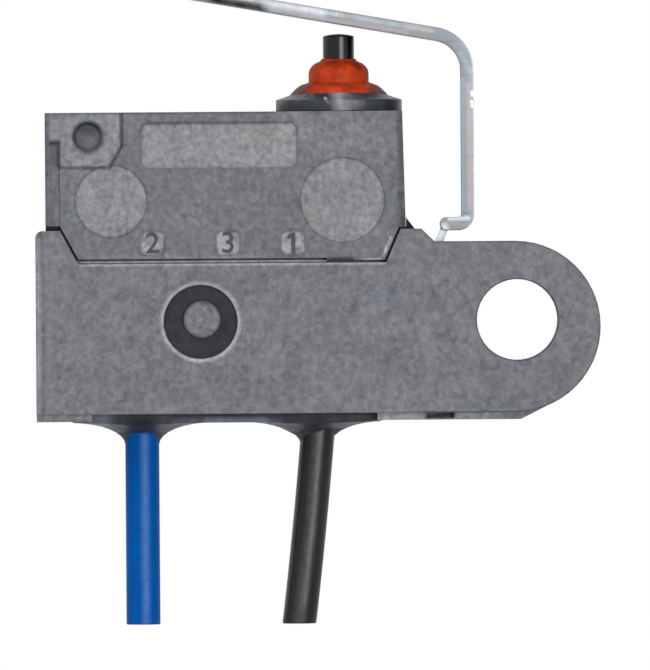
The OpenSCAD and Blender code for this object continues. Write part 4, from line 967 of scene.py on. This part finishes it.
for text, (x, z) in digits["places"].items():
    mesh = drawnDigit(digits["one"]) if text == "1" else typedDigit(text)
    upright = Matrix.Rotation(math.pi / 2, 4, "X")
    mesh.transform(Matrix.Translation((x * mm, digits["face"] * mm, z * mm)) @ upright)
    addPiece(mesh, "terminalDigit" + text, "digitDark", "housing")
print("digits made")


# CAD nodes that stay as they are, with a finish of their own
kept = {"terminal_base": "baseBlack", "common_terminal": "terminalBrass",
    "normally_closed_terminal": "terminalBrass", "normally_open_terminal": "terminalBrass",
    "moving_arm": "terminalBrass", "moving_contact": "contactSilver", "normally_closed_contact": "contactSilver",
    "normally_open_contact": "contactSilver", "latch_ring_seals": "ringBlack", "blue_lead_strands": "strandCopper",
    "black_lead_strands": "strandCopper", "blue_solder_joint": "solderTin", "black_solder_joint": "solderTin"}
for nodeName, look in kept.items():
    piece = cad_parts[nodeName]
    if not piece.material_slots:
        piece.data.materials.append(looks[look])
    for slot in piece.material_slots:
        slot.material = looks[look]
print("kept nodes dressed:", len(kept))


# studio: a pale floor, a white surround and soft lamps; places in millimetres, power in watts
studio = {"floorZ": -24.0, "floorHalf": 350.0, "floorTone": (0.9, 0.9, 0.9, 1), "floorRough": 0.9,
    "floorSpecular": 0.1, "floorLift": 0.3, "ambient": 0.3, "ambientTone": (0.97, 0.985, 1.0, 1),
    "white": (1, 1, 1, 1), "aim": (-8, 0, 1)}
lamps = [
    {"name": "keyLamp", "at": (-330, -260, 300), "size": (240, 240), "power": 0.64, "colour": (1.0, 0.99, 0.98)},
    {"name": "frontStrip", "at": (170, -430, 15), "size": (200, 110), "power": 0.83, "colour": (0.98, 0.99, 1.0)},
    {"name": "topLamp", "at": (0, -60, 420), "size": (300, 200), "power": 0.4, "colour": (1.0, 1.0, 1.0)}]


def seenRay(tree):
    # one for rays from the camera and for what gloss and glass show
    path = tree.nodes.new("ShaderNodeLightPath")
    return mathNode(tree, "MAXIMUM", path.outputs["Is Camera Ray"], mathNode(tree, "MAXIMUM",
        path.outputs["Is Glossy Ray"], path.outputs["Is Transmission Ray"]))


def makeStudio():
    world = bpy.data.worlds.new("studioWorld")
    scene.world = world
    world.use_nodes = True
    tree = world.node_tree
    background = tree.nodes["Background"]
    seen = seenRay(tree)
    put(tree, background.inputs["Color"], mixColour(tree, "MIX", seen, studio["ambientTone"], studio["white"]))
    strength = mathNode(tree, "MULTIPLY_ADD", seen, 1.0 - studio["ambient"], studio["ambient"])
    put(tree, background.inputs["Strength"], strength)

    material, tree, shader, _ = newMaterial("floorPale")
    setShader(shader, Base_Color=studio["floorTone"], Roughness=studio["floorRough"],
        Specular_IOR_Level=studio["floorSpecular"], Emission_Color=studio["white"])
    put(tree, shader.inputs["Emission Strength"], mathNode(tree, "MULTIPLY", seenRay(tree), studio["floorLift"]))
    clear = tree.nodes.new("ShaderNodeBsdfTransparent")  # the floor hides nothing from below
    either = tree.nodes.new("ShaderNodeMixShader")
    put(tree, either.inputs[0], tree.nodes.new("ShaderNodeNewGeometry").outputs["Backfacing"])
    tree.links.new(shader.outputs[0], either.inputs[1])
    tree.links.new(clear.outputs[0], either.inputs[2])
    tree.links.new(either.outputs[0], tree.nodes["Material Output"].inputs["Surface"])
    half, level = studio["floorHalf"] * mm, studio["floorZ"] * mm
    mesh = bpy.data.meshes.new("studioFloor")
    corners = [(x * half, y * half, level) for x, y in ((-1, -1), (1, -1), (1, 1), (-1, 1))]
    mesh.from_pydata(corners, [], [(0, 1, 2, 3)])
    mesh.materials.append(material)
    floor = bpy.data.objects.new("studioFloor", mesh)
    scene.collection.objects.link(floor)

    aim = Vector(studio["aim"]) * mm
    for lamp in lamps:
        data = bpy.data.lights.new(lamp["name"], "AREA")
        data.shape = "RECTANGLE"
        data.size, data.size_y = (s * mm for s in lamp["size"])
        data.energy = lamp["power"]
        data.color = lamp["colour"]
        placed = bpy.data.objects.new(lamp["name"], data)
        placed.location = Vector(lamp["at"]) * mm
        placed.rotation_mode = "QUATERNION"
        placed.rotation_quaternion = (aim - placed.location).to_track_quat("-Z", "Y")
        scene.collection.objects.link(placed)


makeStudio()
print("studio lit")
